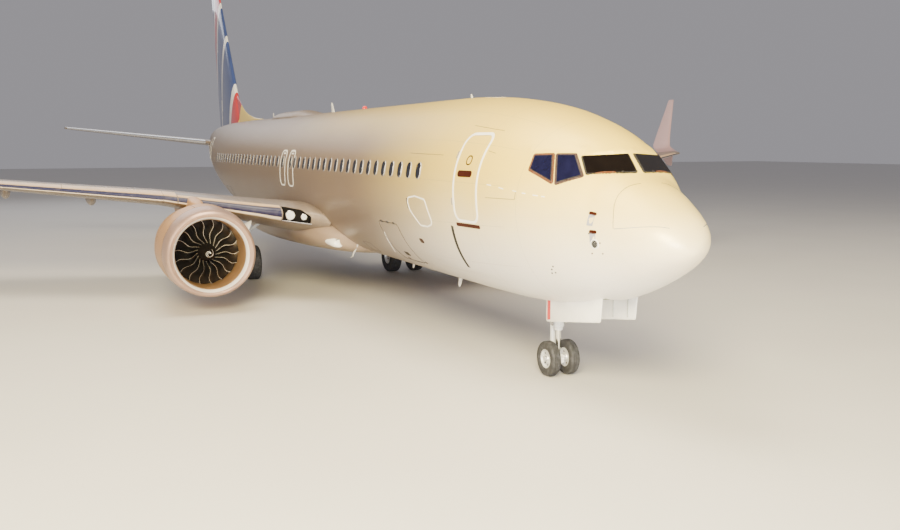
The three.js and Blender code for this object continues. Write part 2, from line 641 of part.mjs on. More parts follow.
function finParts() {
  const fin = skin(FIN.map(finSection));
  const { to, half } = DORSAL_END;
  const dorsal = skin(DORSAL.map(({ z, from }) => [at(0, from, z), at(half, to, z), at(-half, to, z)]));
  const whole = fin.add(dorsal).subtract(bodyWithGap);
  const rows = FIN.slice(1);
  const place = (z) => {
    const share = (z - rows[0].z) / (rows[1].z - rows[0].z);
    const mix = (key) => rows[0][key] + share * (rows[1][key] - rows[0][key]);
    const chord = mix('trail') - mix('lead');
    const thick = 2 * halfThickness(1 - RUDDER.chord) * mix('half');
    return { z, station: mix('trail') - RUDDER.chord * chord, half: thick };
  };
  const low = place(RUDDER.bottom);
  const high = place(RUDDER.top);
  const strip = (forward, margin) => {
    const along = new THREE.Vector2(high.station - low.station, high.z - low.z).normalize();
    const aft = new THREE.Vector2(along.y, -along.x);
    const corner = (p, end, back) => [p.station + end * along.x + back * aft.x,
      p.z + end * along.y + back * aft.y];
    return block('x', [corner(low, -margin, -forward(low)), corner(high, margin, -forward(high)),
      corner(high, margin, 2500), corner(low, -margin, 2500)], -2000, 2000);
  };
  const hinge = [at(0, low.station, low.z), at(0, high.station, high.z)];
  const room = strip((p) => p.half + MOVING_GAP, END_GAP);
  const rudder = whole.intersect(strip(() => 0, 0)).add(rod(...hinge, low.half, high.half, 18));
  return [
    ['fin', whole.subtract(room).add(hingePins(hinge, false)), 'navy'],
    ['rudder', rudder.subtract(hingePins(hinge, true)), 'navy', hinge],
  ];
}

// Engine
const onEngine = (side, back, across, up) => at(side * ENGINE.x + across,
  ENGINE.fanStation + back, ENGINE.z + up);

// A closed profile of distance back and radius, swept round the engine's axis
function engineRing(profile, side, sides, rise = [], rearCut = () => 0) {
  const rings = [];
  for (let i = 0; i < sides; i += 1) {
    const angle = (2 * Math.PI * i) / sides;
    const up = Math.sin(angle);
    rings.push(profile.map(([back, radius], k) => {
      const tall = up > 0 ? rise[k] : LOW;
      return onEngine(side, back - rearCut(k, i), radius * (rise[k] ? WIDE : 1) * Math.cos(angle),
        radius * (rise[k] ? tall : 1) * up);
    }));
  }
  return skin(rings, true);
}

// A profile of distance back and radius that starts and ends on the engine's axis
function engineBody(profile, side, sides = ENGINE_SIDES) {
  const rings = profile.filter(([, radius]) => radius > 0).map(([back, radius]) => {
    const ring = [];
    for (let i = 0; i < sides; i += 1) {
      const angle = (2 * Math.PI * i) / sides;
      ring.push(onEngine(side, back, radius * Math.cos(angle), radius * Math.sin(angle)));
    }
    return ring;
  });
  return skin(rings);
}

function fanBlade(side, angle) {
  const outline = [[-0.5, 0], [-0.1, 0.5], [0.5, 0], [-0.1, -0.3]];
  return skin(BLADE.map((row) => outline.map(([along, across]) => {
    const stagger = rad(row.stagger);
    const back = along * row.chord * Math.cos(stagger) + across * row.thickness * Math.sin(stagger) + row.sweep;
    const round = along * row.chord * Math.sin(stagger) - across * row.thickness * Math.cos(stagger);
    const turn = angle + rad(row.lean) + round / row.radius;
    return onEngine(side, back, row.radius * Math.cos(turn), row.radius * Math.sin(turn));
  })));
}

function fanSolid(side) {
  let fan = engineBody([[FAN.spinnerTip, 12], [FAN.spinnerTip + 60, 75], [FAN.spinnerTip + 200, 160],
    [FAN.hubFront, 235], [FAN.hubRear, FAN.hub]], side, FAN.blades);
  for (let i = 0; i < FAN.blades; i += 1) fan = fan.add(fanBlade(side, (2 * Math.PI * i) / FAN.blades));
  return fan;
}

function coreSolid(side) {
  const bore = rod(onEngine(side, NOZZLE_BORE.from, 0, 0), onEngine(side, NOZZLE_BORE.from + 400, 0, 0),
    NOZZLE_BORE.radius, NOZZLE_BORE.radius, CORE_SIDES);
  const shaft = rod(onEngine(side, FAN.hubRear + SEAT_GAP, 0, 0), onEngine(side, 500, 0, 0),
    SHAFT_RADIUS, SHAFT_RADIUS, 12);
  return engineBody(CORE, side, CORE_SIDES).subtract(bore).add(engineBody(PLUG, side, CORE_SIDES)).add(shaft);
}

function engineParts(side, wing) {
  const tag = side > 0 ? 'port' : 'starboard';
  const wingRoom = wing.add(wing.translate(0, 0, -SEAT_GAP)).add(wing.translate(0, -SEAT_GAP, 0));
  const cowlProfile = (grow) => [...COWL_OUTER.map(([back, radius]) => [back, radius + grow]),
    ...COWL_INNER.map(([back, radius]) => [back, radius - grow])];
  const cowlRing = (grow) => engineRing(cowlProfile(grow), side, ENGINE_SIDES, COWL_RISE);
  const rear = [SLEEVE_OUTER.length - 1, SLEEVE_OUTER.length];
  const sleeveRing = (grow) => engineRing([...SLEEVE_OUTER.map(([back, radius]) => [back, radius + grow]),
    ...SLEEVE_INNER.map(([back, radius]) => [back, radius - grow])], side, SLEEVE_SIDES, [],
  (k, i) => (rear.includes(k) ? (i % 2) * CHEVRON_DEPTH - grow : 0));
  const coreRoom = engineBody(CORE.map(([back, radius]) => [back, radius + SEAT_GAP]), side, CORE_SIDES);
  const section = (row) => roundedOutline(side * ENGINE.x, row.bottom, 2 * row.half,
    row.top - row.bottom, row.half * 0.6).map(([x, z]) => at(x, row.station, z));
  let pylon = skin(PYLON.map(section));
  pylon = pylon.subtract(cowlRing(SEAT_GAP)).subtract(sleeveRing(SEAT_GAP)).subtract(coreRoom);
  pylon = largest(pylon.subtract(wingRoom));
  return [
    [`engine_cowl_${tag}`, cowlRing(0).subtract(wingRoom), 'skin'],
    [`reverser_sleeve_${tag}`, sleeveRing(0).subtract(wingRoom), 'skin'],
    [`engine_core_${tag}`, coreSolid(side), 'metal'],
    [`pylon_${tag}`, pylon, 'skin'],
    [`fan_${tag}`, fanSolid(side), 'titanium', [onEngine(side, 0, 0, 0), onEngine(side, 100, 0, 0)]],
  ];
}

// Landing gear
function wheelRing(profile, x, station, z) {
  const rings = [];
  for (let i = 0; i < WHEEL_SIDES; i += 1) {
    const angle = (2 * Math.PI * (i + 0.5)) / WHEEL_SIDES;
    rings.push(profile.map(([across, radius]) => at(x + across,
      station + radius * Math.cos(angle), z + radius * Math.sin(angle))));
  }
  return skin(rings, true);
}

function tyreSolid(wheel, x, station, z) {
  const w = wheel.width / 2;
  const r = wheel.radius;
  const rim = wheel.rim + SEAT_GAP;
  return wheelRing([[-w * 0.72, rim], [-w, rim + (r - rim) * 0.5], [-w * 0.66, r], [w * 0.66, r],
    [w, rim + (r - rim) * 0.5], [w * 0.72, rim]], x, station, z);
}

// Both wheels of a leg turn as one, on a tube through the leg's axle sleeve
function wheelPair(wheel, x, station, z) {
  const w = wheel.width / 2;
  const rim = wheel.rim;
  const half = [[-0.5 * w, 0.26 * rim], [-0.35 * w, 0.45 * rim], [-0.72 * w, 0.86 * rim],
    [-0.72 * w, rim], [0.72 * w, rim], [0.5 * w, wheel.axle]].map(([off, radius]) => [off - wheel.x, radius]);
  const profile = [...half, ...half.map(([across, radius]) => [-across, radius]).reverse()];
  return skin(profile.map(([across, radius]) => {
    const ring = [];
    for (let i = 0; i < WHEEL_SIDES; i += 1) {
      const angle = (2 * Math.PI * (i + 0.5)) / WHEEL_SIDES;
      ring.push(at(x + across, station + radius * Math.cos(angle), z + radius * Math.sin(angle)));
    }
    return ring;
  }));
}

function noseGearParts() {
  const g = NOSE_GEAR;
  const s = g.station;
  const roof = BODY_MID + NOSE_BAY.roof - SEAT_GAP;
  const trunnion = rod(at(-230, s, 1800), at(230, s, 1800), 45);
  const dragBrace = rod(at(0, s, 1250), at(0, s - 850, 1820), 42)
    .add(rod(at(-200, s - 850, 1820), at(200, s - 850, 1820), 40))
    .add(box(-60, 60, s - 900, s - 800, 1800, roof));
  const leg = rod(at(0, s, g.pistonTop), at(0, s, roof), g.leg, g.leg, 16).add(trunnion).add(dragBrace);
  const tow = TOW_FITTING;
  const bore = boreFor(NOSE_WHEEL.axle);
  const turn = g.leg + COLLAR_GAP;
  const collar = rod(at(0, s, 950), at(0, s, 1060), g.collar, g.collar, 16)
    .subtract(rod(at(0, s, 940), at(0, s, 1070), turn, turn, 16));
  const torqueLinks = box(-45, 45, s + 92, s + 240, 975, 1035)
    .add(box(-38, 38, s + 190, s + 240, 520, 1030))
    .add(box(-45, 45, s + 30, s + 240, 480, 540));
  const steered = rod(at(0, s, g.axle), at(0, s, g.pistonTop - SEAT_GAP), g.piston, g.piston, 14)
    .add(collar)
    .add(torqueLinks)
    .add(rod(at(-95, s, g.axle), at(95, s, g.axle), 62, 62, 14))
    .add(box(-tow.half, tow.half, s - tow.reach, s - 40, tow.low, tow.high))
    .subtract(rod(at(-120, s, g.axle), at(120, s, g.axle), bore, bore, AXLE_SIDES));
  const d = NOSE_DOOR;
  const top = BODY_MID + d.top;
  const outline = [[d.from + 60, d.frontBottom], [d.to, d.rearBottom], [d.to, top], [d.from, top]];
  const doorPanel = (side) => block('x', outline, side * d.x, side * (d.x + d.thickness)).subtract(bodyWithGap);
  return [
    ['nose_leg', leg, 'gearWhite'],
    ['nose_steering_leg', steered, 'gearWhite'],
    ['nose_wheels', wheelPair(NOSE_WHEEL, 0, s, g.axle), 'rim'],
    ['nose_tyre_port', tyreSolid(NOSE_WHEEL, NOSE_WHEEL.x, s, g.axle), 'rubber'],
    ['nose_tyre_starboard', tyreSolid(NOSE_WHEEL, -NOSE_WHEEL.x, s, g.axle), 'rubber'],
    ['nose_gear_door_port', doorPanel(1), 'gearWhite'],
    ['nose_gear_door_starboard', doorPanel(-1), 'gearWhite'],
  ];
}

function mainGearParts(side, wing) {
  const tag = side > 0 ? 'port' : 'starboard';
  const g = MAIN_GEAR;
  const s = g.station;
  const x = side * g.x;
  const bore = boreFor(MAIN_WHEEL.axle);
  const sideBrace = rod(at(x, s, 1350), at(side * 1900, s, 2050), 55);
  const dragBrace = rod(at(x, s, 1500), at(x, s - 800, 2700), 50);
  const torqueLinks = box(x - 55, x + 55, s + 80, s + 300, 1120, 1190)
    .add(box(x - 45, x + 45, s + 235, s + 300, 700, 1180))
    .add(box(x - 55, x + 55, s + 40, s + 300, 640, 710));
  const whole = rod(at(x, s, g.pistonTop), at(x, s, 2900), g.leg, g.leg, 16)
    .add(rod(at(x, s, g.axle), at(x, s, g.pistonTop + 50), g.piston, g.piston, 14))
    .add(sideBrace)
    .add(dragBrace)
    .add(torqueLinks)
    .add(rod(at(x - 180, s, g.axle), at(x + 180, s, g.axle), 100, 100, 16))
    .subtract(rod(at(x - 250, s, g.axle), at(x + 250, s, g.axle), bore, bore, AXLE_SIDES));
  const cover = box(x + side * 150, x + side * 175, s - 330, s + 330, 1300, 2900)
    .add(box(x + side * 60, x + side * 160, s - 40, s + 40, 1500, 1560));
  const leg = largest(whole.add(cover).subtract(wing).subtract(wing.translate(0, 0, -SEAT_GAP))
    .subtract(fairingShape(SEAT_GAP)));
  return [
    [`main_leg_${tag}`, leg, 'gearWhite'],
    [`main_wheels_${tag}`, wheelPair(MAIN_WHEEL, x, s, g.axle), 'rim'],
    [`main_tyre_${tag}_inner`, tyreSolid(MAIN_WHEEL, x - side * MAIN_WHEEL.x, s, g.axle), 'rubber'],
    [`main_tyre_${tag}_outer`, tyreSolid(MAIN_WHEEL, x + side * MAIN_WHEEL.x, s, g.axle), 'rubber'],
  ];
}

// Materials
const FINISH = {
  skin: { color: 0xc9c4b8, roughness: 0.35, metalness: 0.3 },
  bright: { color: 0xd9dbde, roughness: 0.12, metalness: 1 },
  wingGrey: { color: 0xb2b5b8, roughness: 0.45, metalness: 0.3 },
  navy: { color: 0x1d2c55, roughness: 0.35, metalness: 0.2 },
  metal: { color: 0x8d8780, roughness: 0.35, metalness: 0.9 },
  titanium: { color: 0x4a4b50, roughness: 0.3, metalness: 0.9 },
  gearWhite: { color: 0xd8d8d2, roughness: 0.45, metalness: 0.1 },
  rim: { color: 0xc2c4c4, roughness: 0.4, metalness: 0.6 },
  rubber: { color: 0x1b1b1c, roughness: 0.85, metalness: 0 },
};

const group = new THREE.Group();

function place(name, body, finish, hinge) {
  const mesh = new THREE.Mesh(geometryOf(body), new THREE.MeshStandardMaterial(FINISH[finish]));
  mesh.name = name;
  if (hinge) mesh.userData.hinge = hinge;
  group.add(mesh);
}

place('fuselage', fuselageSolid(), 'skin');
place('radome', radomeSolid(), 'skin');
place('tail_cone', tailConeSolid(), 'skin');
place('wing_body_fairing', fairingSolid(), 'skin');
doors.forEach((door) => place(door.name, door.panel, 'skin', door.hinge));
[1, -1].forEach((side) => {
  wingParts(side).forEach((piece) => place(...piece));
  const underside = skin(WING.map((row) => wingSection(row, side)));
  engineParts(side, underside).forEach((piece) => place(...piece));
  mainGearParts(side, underside).forEach((piece) => place(...piece));
  tailPlane(side).forEach((piece) => place(...piece));
});
finParts().forEach((piece) => place(...piece));
noseGearParts().forEach((piece) => place(...piece));

export default group;
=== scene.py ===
"""Looks for a narrow-body twin-jet airliner standing on its landing gear.
Metres. +X is to port, +Y aft, +Z up, and the ground is z = 0. A station is a distance aft of the nose tip."""

import json
import random
from math import atan2, cos, hypot, pi, radians, sin, sqrt, tan

import bpy
import numpy as np
from mathutils import Matrix, Vector
from mathutils.bvhtree import BVHTree

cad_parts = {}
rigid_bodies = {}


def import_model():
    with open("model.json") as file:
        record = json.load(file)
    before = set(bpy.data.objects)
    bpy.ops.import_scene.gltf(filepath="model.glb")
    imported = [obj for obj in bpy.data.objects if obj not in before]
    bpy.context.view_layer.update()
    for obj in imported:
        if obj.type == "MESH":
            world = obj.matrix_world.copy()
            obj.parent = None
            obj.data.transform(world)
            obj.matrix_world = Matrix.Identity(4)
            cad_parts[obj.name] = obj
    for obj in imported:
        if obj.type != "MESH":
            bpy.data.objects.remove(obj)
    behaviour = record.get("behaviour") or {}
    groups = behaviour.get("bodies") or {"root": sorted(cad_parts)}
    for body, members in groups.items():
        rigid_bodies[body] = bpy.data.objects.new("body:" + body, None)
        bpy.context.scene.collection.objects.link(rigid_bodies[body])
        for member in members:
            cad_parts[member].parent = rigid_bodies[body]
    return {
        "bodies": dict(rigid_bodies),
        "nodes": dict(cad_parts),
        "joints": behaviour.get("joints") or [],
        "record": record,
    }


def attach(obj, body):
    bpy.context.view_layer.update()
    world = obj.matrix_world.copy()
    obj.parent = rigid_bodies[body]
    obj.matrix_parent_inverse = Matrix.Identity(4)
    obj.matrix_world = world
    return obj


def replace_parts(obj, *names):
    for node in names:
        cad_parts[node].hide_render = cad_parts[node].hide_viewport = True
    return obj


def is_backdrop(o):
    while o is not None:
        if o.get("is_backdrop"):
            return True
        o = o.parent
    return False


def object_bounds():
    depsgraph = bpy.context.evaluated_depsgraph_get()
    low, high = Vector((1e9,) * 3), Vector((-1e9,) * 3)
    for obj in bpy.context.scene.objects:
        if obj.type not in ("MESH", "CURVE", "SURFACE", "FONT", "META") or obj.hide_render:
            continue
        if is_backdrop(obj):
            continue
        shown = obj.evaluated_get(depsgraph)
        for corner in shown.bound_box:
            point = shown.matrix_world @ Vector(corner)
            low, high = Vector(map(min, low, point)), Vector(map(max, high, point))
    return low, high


bl_info = {
    "name": "Narrow-body airliner",
    "version": (1, 0, 0),
    "blender": (4, 5, 0),
    "location": "3D View > Sidebar > Airliner",
    "description": "Builds the skin, cabin, engines and running gear of a narrow-body airliner",
    "category": "Object",
}

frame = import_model()
CAD_BOX = [list(corner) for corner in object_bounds()]

# Overall
LENGTH = 39.52
HEIGHT = 12.30
BODY_MID = 3.40        # middle of the fuselage's depth, above the ground
SIDES = {"port": 1, "starboard": -1}
PANEL_GAP = 0.004      # round the edge of a fixed door
MOVING_GAP = 0.008     # round a panel that moves
END_GAP = 0.026        # past each end of a control surface
FAR = 30.0             # reach of a cutting block

# Fuselage rows: station, then crown, keel and widest line above BODY_MID, then half width
BODY = np.array([
    (0, -0.590, -0.620, -0.600, 0.015), (0.04, -0.416, -0.706, -0.540, 0.198),
    (0.12, -0.282, -0.791, -0.526, 0.344), (0.3, -0.098, -0.923, -0.498, 0.538),
    (0.6, 0.105, -1.099, -0.475, 0.725), (1.0, 0.326, -1.299, -0.446, 0.892),
    (1.5, 0.567, -1.505, -0.397, 1.079), (1.8, 0.896, -1.606, -0.351, 1.186),
    (2.2, 1.151, -1.709, -0.255, 1.326), (2.7, 1.356, -1.808, -0.128, 1.465),
    (3.3, 1.534, -1.896, 0.0, 1.581), (4.0, 1.700, -1.958, 0.095, 1.672),
    (5.0, 1.850, -1.997, 0.135, 1.768), (6.2, 1.955, -2.005, 0.140, 1.855),
    (7.8, 2.005, -2.005, 0.125, 1.880), (24.5, 2.005, -2.005, 0.125, 1.880),
    (26.5, 2.005, -1.900, 0.137, 1.868), (28.5, 2.002, -1.590, 0.212, 1.790),
    (30.5, 1.995, -1.120, 0.355, 1.640), (32.5, 1.975, -0.580, 0.570, 1.405),
    (34.5, 1.925, -0.030, 0.845, 1.080), (36.3, 1.840, 0.460, 1.100, 0.740),
    (37.4, 1.730, 0.780, 1.250, 0.480), (38.3, 1.560, 1.060, 1.325, 0.235),
])
BODY_END = 38.3
TAIL_CONE_START = 36.3
RADOME_SEAM = {"station": 1.060, "lean": 0.33}
CREST = {"start": 19.3, "end": 24.7, "half": 0.6, "rise": 0.19, "base": 1.9, "wall": 0.09}
EXHAUST_RADIUS = 0.15
NOSE_BAY = {"half": 0.33, "start": 1.9, "end": 4.35, "roof": -1.43}
WHEEL_WELL = {"x": 0.8, "station": 19.8, "radius": 0.62, "roof": -1.7}

# Doors: side, station, width, height, sill above BODY_MID, thickness, corner
DOORS = {
    "entry_door_front": (1, 4.60, 0.86, 1.83, -0.40, 0.11, 0.16),
    "service_door_front": (-1, 4.57, 0.78, 1.56, -0.40, 0.11, 0.15),
    "entry_door_rear": (1, 32.30, 0.76, 1.83, -0.40, 0.11, 0.15),
    "service_door_rear": (-1, 32.30, 0.76, 1.65, -0.40, 0.11, 0.15),
    "cargo_door_front": (-1, 8.74, 1.22, 0.89, -1.65, 0.09, 0.09),
    "cargo_door_rear": (-1, 27.00, 1.22, 0.84, -1.50, 0.09, 0.09),
}
EXIT_STATIONS = {"front": 16.65, "rear": 17.60}
EXIT_SIZE = (0.51, 0.97, -0.20, 0.07, 0.12)
EXIT_ROOM = 0.014      # behind a hinged panel

# Wing-to-body fairing rows: station, half width, top and bottom above BODY_MID
FAIRING = np.array([
    (12.9, 0.70, -1.40, -1.96), (13.9, 1.64, -1.05, -2.03), (15.0, 1.96, -0.80, -2.08),
    (17.0, 2.05, -0.70, -2.17), (20.4, 2.05, -0.70, -2.25), (22.2, 1.96, -0.90, -2.19),
    (23.7, 1.50, -1.25, -2.08), (24.6, 0.70, -1.50, -1.96),
])

# Lifting surface rows: x, leading edge, trailing edge, chord line height, thickness share, twist
WING = np.array([
    (1.5, 13.80, 20.95, 2.31, 0.130, 2.0), (3.0, 14.95, 20.95, 2.51, 0.122, 1.6),
    (5.6, 16.30, 20.95, 2.89, 0.098, 1.0), (11.4, 19.335, 22.31, 3.37, 0.084, 0.0),
    (16.4, 21.98, 23.50, 4.00, 0.088, -0.8),
])
STABILISER = np.array([
    (0.3, 33.45, 37.01, 4.40, 0.085, 0.0), (7.175, 38.20, 39.52, 5.19, 0.085, 0.0),
])
SLAT = {"start": 5.25, "end": 16.15, "chord": 0.13}
SLAT_SEAMS = (5.6, 8.2, 10.8, 13.4, 15.9)
FLAPS = {"flap_inboard": (2.15, 5.25, 0.23), "flap_outboard": (5.75, 12.3, 0.27)}
AILERON = (12.7, 15.9, 0.27)
ELEVATOR = (1.15, 6.7, 0.30)
SPOILER = {"start": 6.3, "end": 11.35, "front": 0.40, "width": 0.7, "skin": 0.025, "slots": 3}
TRACKS = ((3.7, 2.9), (7.3, 2.7), (9.7, 2.5), (12.0, 2.3))
TRACK_HALF, TRACK_DEPTH = 0.15, 0.43
JACK_PAD = {"x": 6.1, "station": 19.2, "bottom": 2.66, "radius": 0.075}
# Winglet rows: x, z, leading edge, chord, thickness share, lean from level
WINGLET_UP = np.array([
    (16.40, 4.00, 21.98, 1.52, 0.088, 7), (16.65, 4.05, 22.45, 1.50, 0.085, 22),
    (16.83, 4.15, 22.96, 1.40, 0.080, 42), (16.95, 4.32, 23.42, 1.23, 0.080, 58),
    (17.08, 4.60, 23.62, 1.08, 0.080, 65), (17.945, 6.37, 24.58, 0.35, 0.080, 66),
])
WINGLET_DOWN = np.array([
    (16.83, 4.12, 23.01, 1.23, 0.080, -30), (17.05, 3.86, 23.33, 0.90, 0.080, -48),
    (17.52, 3.43, 24.02, 0.33, 0.080, -48),
])
# Fin rows: z, leading edge, trailing edge, half thickness
FIN = np.array([(5.0, 31.90, 37.19, 0.230), (5.6, 32.31, 37.32, 0.225), (12.3, 37.15, 38.70, 0.065)])
RUDDER = {"bottom": 5.75, "top": 12.05, "chord": 0.30}
DORSAL = np.array([(5.0, 26.3), (5.41, 27.7), (5.5, 29.3), (5.8, 31.2), (6.6, 33.0)])
DORSAL_END = {"to": 33.7, "half": 0.11}

# Engine, about its own axis. Profiles are distance aft of the fan plane, then radius.
ENGINE = {"x": 4.83, "z": 1.56, "fan": 14.29}
COWL_OUTER = np.array([(-0.935, 1.060), (-0.905, 1.105), (-0.780, 1.142), (-0.450, 1.172),
                       (0.400, 1.183), (1.300, 1.150)])
COWL_INNER = np.array([(-0.935, 1.060), (-0.900, 1.010), (-0.780, 0.935), (-0.550, 0.892), (0.0, 0.884),
                       (0.700, 0.900), (1.300, 1.000)])
SLEEVE_OUTER = np.array([(1.305, 1.149), (2.150, 1.050), (2.700, 0.925), (2.850, 0.890)])
SLEEVE_INNER = np.array([(1.305, 1.000), (2.700, 0.905), (2.850, 0.878)])
CHEVRONS, CHEVRON_DEPTH = 18, 0.12
WIDE, LOW = 1.015, 0.968
COWL_RISE = np.array([(-0.935, 1.0), (-0.905, 1.0), (-0.780, 1.02), (-0.450, 1.055), (0.400, 1.065),
                      (1.300, 1.0)])
CORE = np.array([(0.42, 0.43), (1.1, 0.52), (1.9, 0.64), (2.7, 0.61), (3.3, 0.50), (3.8, 0.40)])
PLUG = np.array([(3.5, 0.20), (3.6, 0.26), (3.9, 0.22), (4.2, 0.11), (4.34, 0.02)])
FAN = {"blades": 18, "hub": 0.262, "tip": 0.868, "front": -0.19, "rear": 0.15, "spinner": -0.56}
# Blade rows: radius, chord, stagger, sweep, lean, thickness
BLADE = np.array([(0.235, 0.300, 28, 0.0, 0, 0.030), (0.560, 0.360, 48, -0.020, 11, 0.018),
                  (0.868, 0.345, 62, 0.045, 8, 0.009)])
# Pylon rows: station, half width, top, bottom
PYLON = np.array([(14.85, 0.06, 2.74, 2.56), (15.5, 0.17, 2.86, 2.50), (16.5, 0.20, 2.95, 1.99),
                  (17.6, 0.19, 2.95, 2.05), (18.7, 0.13, 2.85, 2.20), (19.7, 0.04, 2.70, 2.43)])

# Landing gear. A tyre's radius is its loaded height.
NOSE_GEAR = {"station": 4.01, "axle": 0.3388}
NOSE_WHEEL = {"x": 0.205, "radius": 0.3388, "width": 0.197, "rim": 0.170}
MAIN_GEAR = {"x": 2.86, "station": 19.61, "axle": 0.5580}
MAIN_WHEEL = {"x": 0.43, "radius": 0.5580, "width": 0.42, "rim": 0.270}
NOSE_DOOR = {"x": 0.345, "start": 1.95, "end": 3.85, "front_low": 1.38, "rear_low": 1.095, "top": 1.92,
             "thickness": 0.022}


def at(x, station, z):
    """Points in the row frame, from x, station and height above the ground."""
    x, station, z = np.broadcast_arrays(*(np.asarray(v, float) for v in (x, station, z)))
    return np.stack([x, station - LENGTH / 2, z], -1)


def eased(xs, ys, x):
    """A smooth curve through a table that adds no bumps between its rows."""
    xs, ys, x = (np.asarray(v, float) for v in (xs, ys, x))
    step = np.diff(xs)
    slope = np.diff(ys) / step
    tangent = np.zeros(len(xs))
    tangent[0], tangent[-1] = slope[0], slope[-1]
    for i in range(1, len(xs) - 1):
        if slope[i - 1] * slope[i] > 0:
            near, far = 2 * step[i] + step[i - 1], step[i] + 2 * step[i - 1]
            tangent[i] = (near + far) / (near / slope[i - 1] + far / slope[i])
    i = np.clip(np.searchsorted(xs, x) - 1, 0, len(step) - 1)
    t = np.clip((x - xs[i]) / step[i], 0, 1)
    h = step[i]
    return ((1 + 2 * t) * (1 - t) ** 2 * ys[i] + t * (1 - t) ** 2 * h * tangent[i]
            + t * t * (3 - 2 * t) * ys[i + 1] + t * t * (t - 1) * h * tangent[i + 1])


def eased_columns(table, place):
    """A table's other columns at a place in its first, along smooth curves."""
    return [eased(table[:, 0], table[:, k], place) for k in range(1, table.shape[1])]


def row_at(table, place):
    """A table's other columns at a place in its first, along straight lines."""
    return [np.interp(place, table[:, 0], table[:, k]) for k in range(1, table.shape[1])]


def unit(vectors):
    return vectors / np.linalg.norm(vectors, axis=-1, keepdims=True)


def turns(count):
    """Angles evenly spaced all the way round."""
    return np.arange(count) * 2 * pi / count


# Solids

class Solid:
    """Points and faces with a finish number each, gathered from several forms."""

    def __init__(self):
        self.points, self.faces, self.finishes, self.count = [], [], [], 0

    def add(self, points, faces, finish=0):
        points = np.asarray(points, float).reshape(-1, 3)
        self.points.append(points)
        self.faces += [tuple(i + self.count for i in face) for face in faces]
        self.finishes += [finish] * len(faces)
        self.count += len(points)
        return self

    def join(self, other, finish=None):
        self.points += other.points
        self.faces += [tuple(i + self.count for i in face) for face in other.faces]
        self.finishes += other.finishes if finish is None else [finish] * len(other.faces)
        self.count += other.count
        return self

    def finished(self, finish):
        self.finishes = [finish] * len(self.finishes)
        return self

    def array(self):
        return np.concatenate(self.points) if self.points else np.zeros((0, 3))

    def moved(self, change):
        """A copy with every point passed through change."""
        made = Solid()
        made.points, made.faces = [change(self.array())], list(self.faces)
        made.finishes, made.count = list(self.finishes), self.count
        return made

    def mesh(self, name):
        mesh = bpy.data.meshes.new(name)
        mesh.from_pydata(self.array().tolist(), [], self.faces)
        mesh.polygons.foreach_set("material_index", self.finishes)
        mesh.update()
        return mesh


def volume(points, faces):
    return sum(np.dot(points[face[0]], np.cross(points[face[j]], points[face[j + 1]]))
               for face in faces for j in range(1, len(face) - 1))


def loft(rings, closed=False, finish=0):
    """Skin over rings of points that run the same way round, closed at each end or joined end to end."""
    rings = np.asarray(rings, float)
    count, sides = rings.shape[:2]
    faces = []
    for i in range(count if closed else count - 1):
        a, b = i * sides, ((i + 1) % count) * sides
        faces += [(a + j, a + (j + 1) % sides, b + (j + 1) % sides, b + j) for j in range(sides)]
    if not closed:
        faces += [tuple(reversed(range(sides))), tuple(range((count - 1) * sides, count * sides))]
    points = rings.reshape(-1, 3)
    if volume(points - points.mean(0), faces) < 0:
        faces = [tuple(reversed(face)) for face in faces]
    return Solid().add(points, faces, finish)


def block(along, outline, low, high):
    """Block over a flat outline in two of the axes, drawn out along the third."""
    a, b = np.asarray(outline, float).T
    place = {"x": lambda v: at(v, a, b), "y": lambda v: at(a, v, b), "z": lambda v: at(a, b, v)}[along]
    return loft([place(low), place(high)])


def box(x0, x1, s0, s1, z0, z1):
    return block("z", [(x0, s0), (x1, s0), (x1, s1), (x0, s1)], z0, z1)


def across(direction):
    """Two directions square to a direction and to each other."""
    direction = unit(direction)
    first = unit(np.cross((0, 0, 1.0) if abs(direction[2]) < 0.9 else (1.0, 0, 0), direction))
    return first, np.cross(direction, first)


def circle(centre, first, second, radius, sides):
    angle = turns(sides)[:, None]
    return centre + radius * (np.cos(angle) * first + np.sin(angle) * second)


def rod(start, end, radius, end_radius=None, sides=32, edge=0.0, finish=0):
    """A round bar, with its end edges softened by edge."""
    start, end = np.asarray(start, float), np.asarray(end, float)
    first, second = across(end - start)
    last = radius if end_radius is None else end_radius
    way = unit(end - start)
    rings = [circle(start, first, second, radius - edge, sides)]
    if edge:
        rings += [circle(start + way * edge, first, second, radius, sides),
                  circle(end - way * edge, first, second, last, sides)]
    rings.append(circle(end, first, second, last - edge, sides))
    return loft(rings, finish=finish)


def tube(path, radius, sides=12, finish=0):
    """A round bar along a path, whose radius may change."""
    path = np.asarray(path, float)
    tangents = unit(np.gradient(path, axis=0))
    first, _ = across(tangents[0])
    rings = []
    for point, tangent, size in zip(path, tangents, np.broadcast_to(np.asarray(radius, float), (len(path),))):
        first = unit(first - tangent * np.dot(first, tangent))
        rings.append(circle(point, first, np.cross(tangent, first), size, sides))
    return loft(rings, finish=finish)


def inward_ways(corners):
    """A convex outline's corners, run one way round, and the inward direction of each of its edges."""
    corners = np.asarray(corners, float)
    following = np.roll(corners, -1, 0)
    if np.sum(corners[:, 0] * following[:, 1] - following[:, 0] * corners[:, 1]) < 0:
        corners = corners[::-1]
    ways = unit(np.roll(corners, -1, 0) - corners)
    return corners, np.stack([-ways[:, 1], ways[:, 0]], 1)


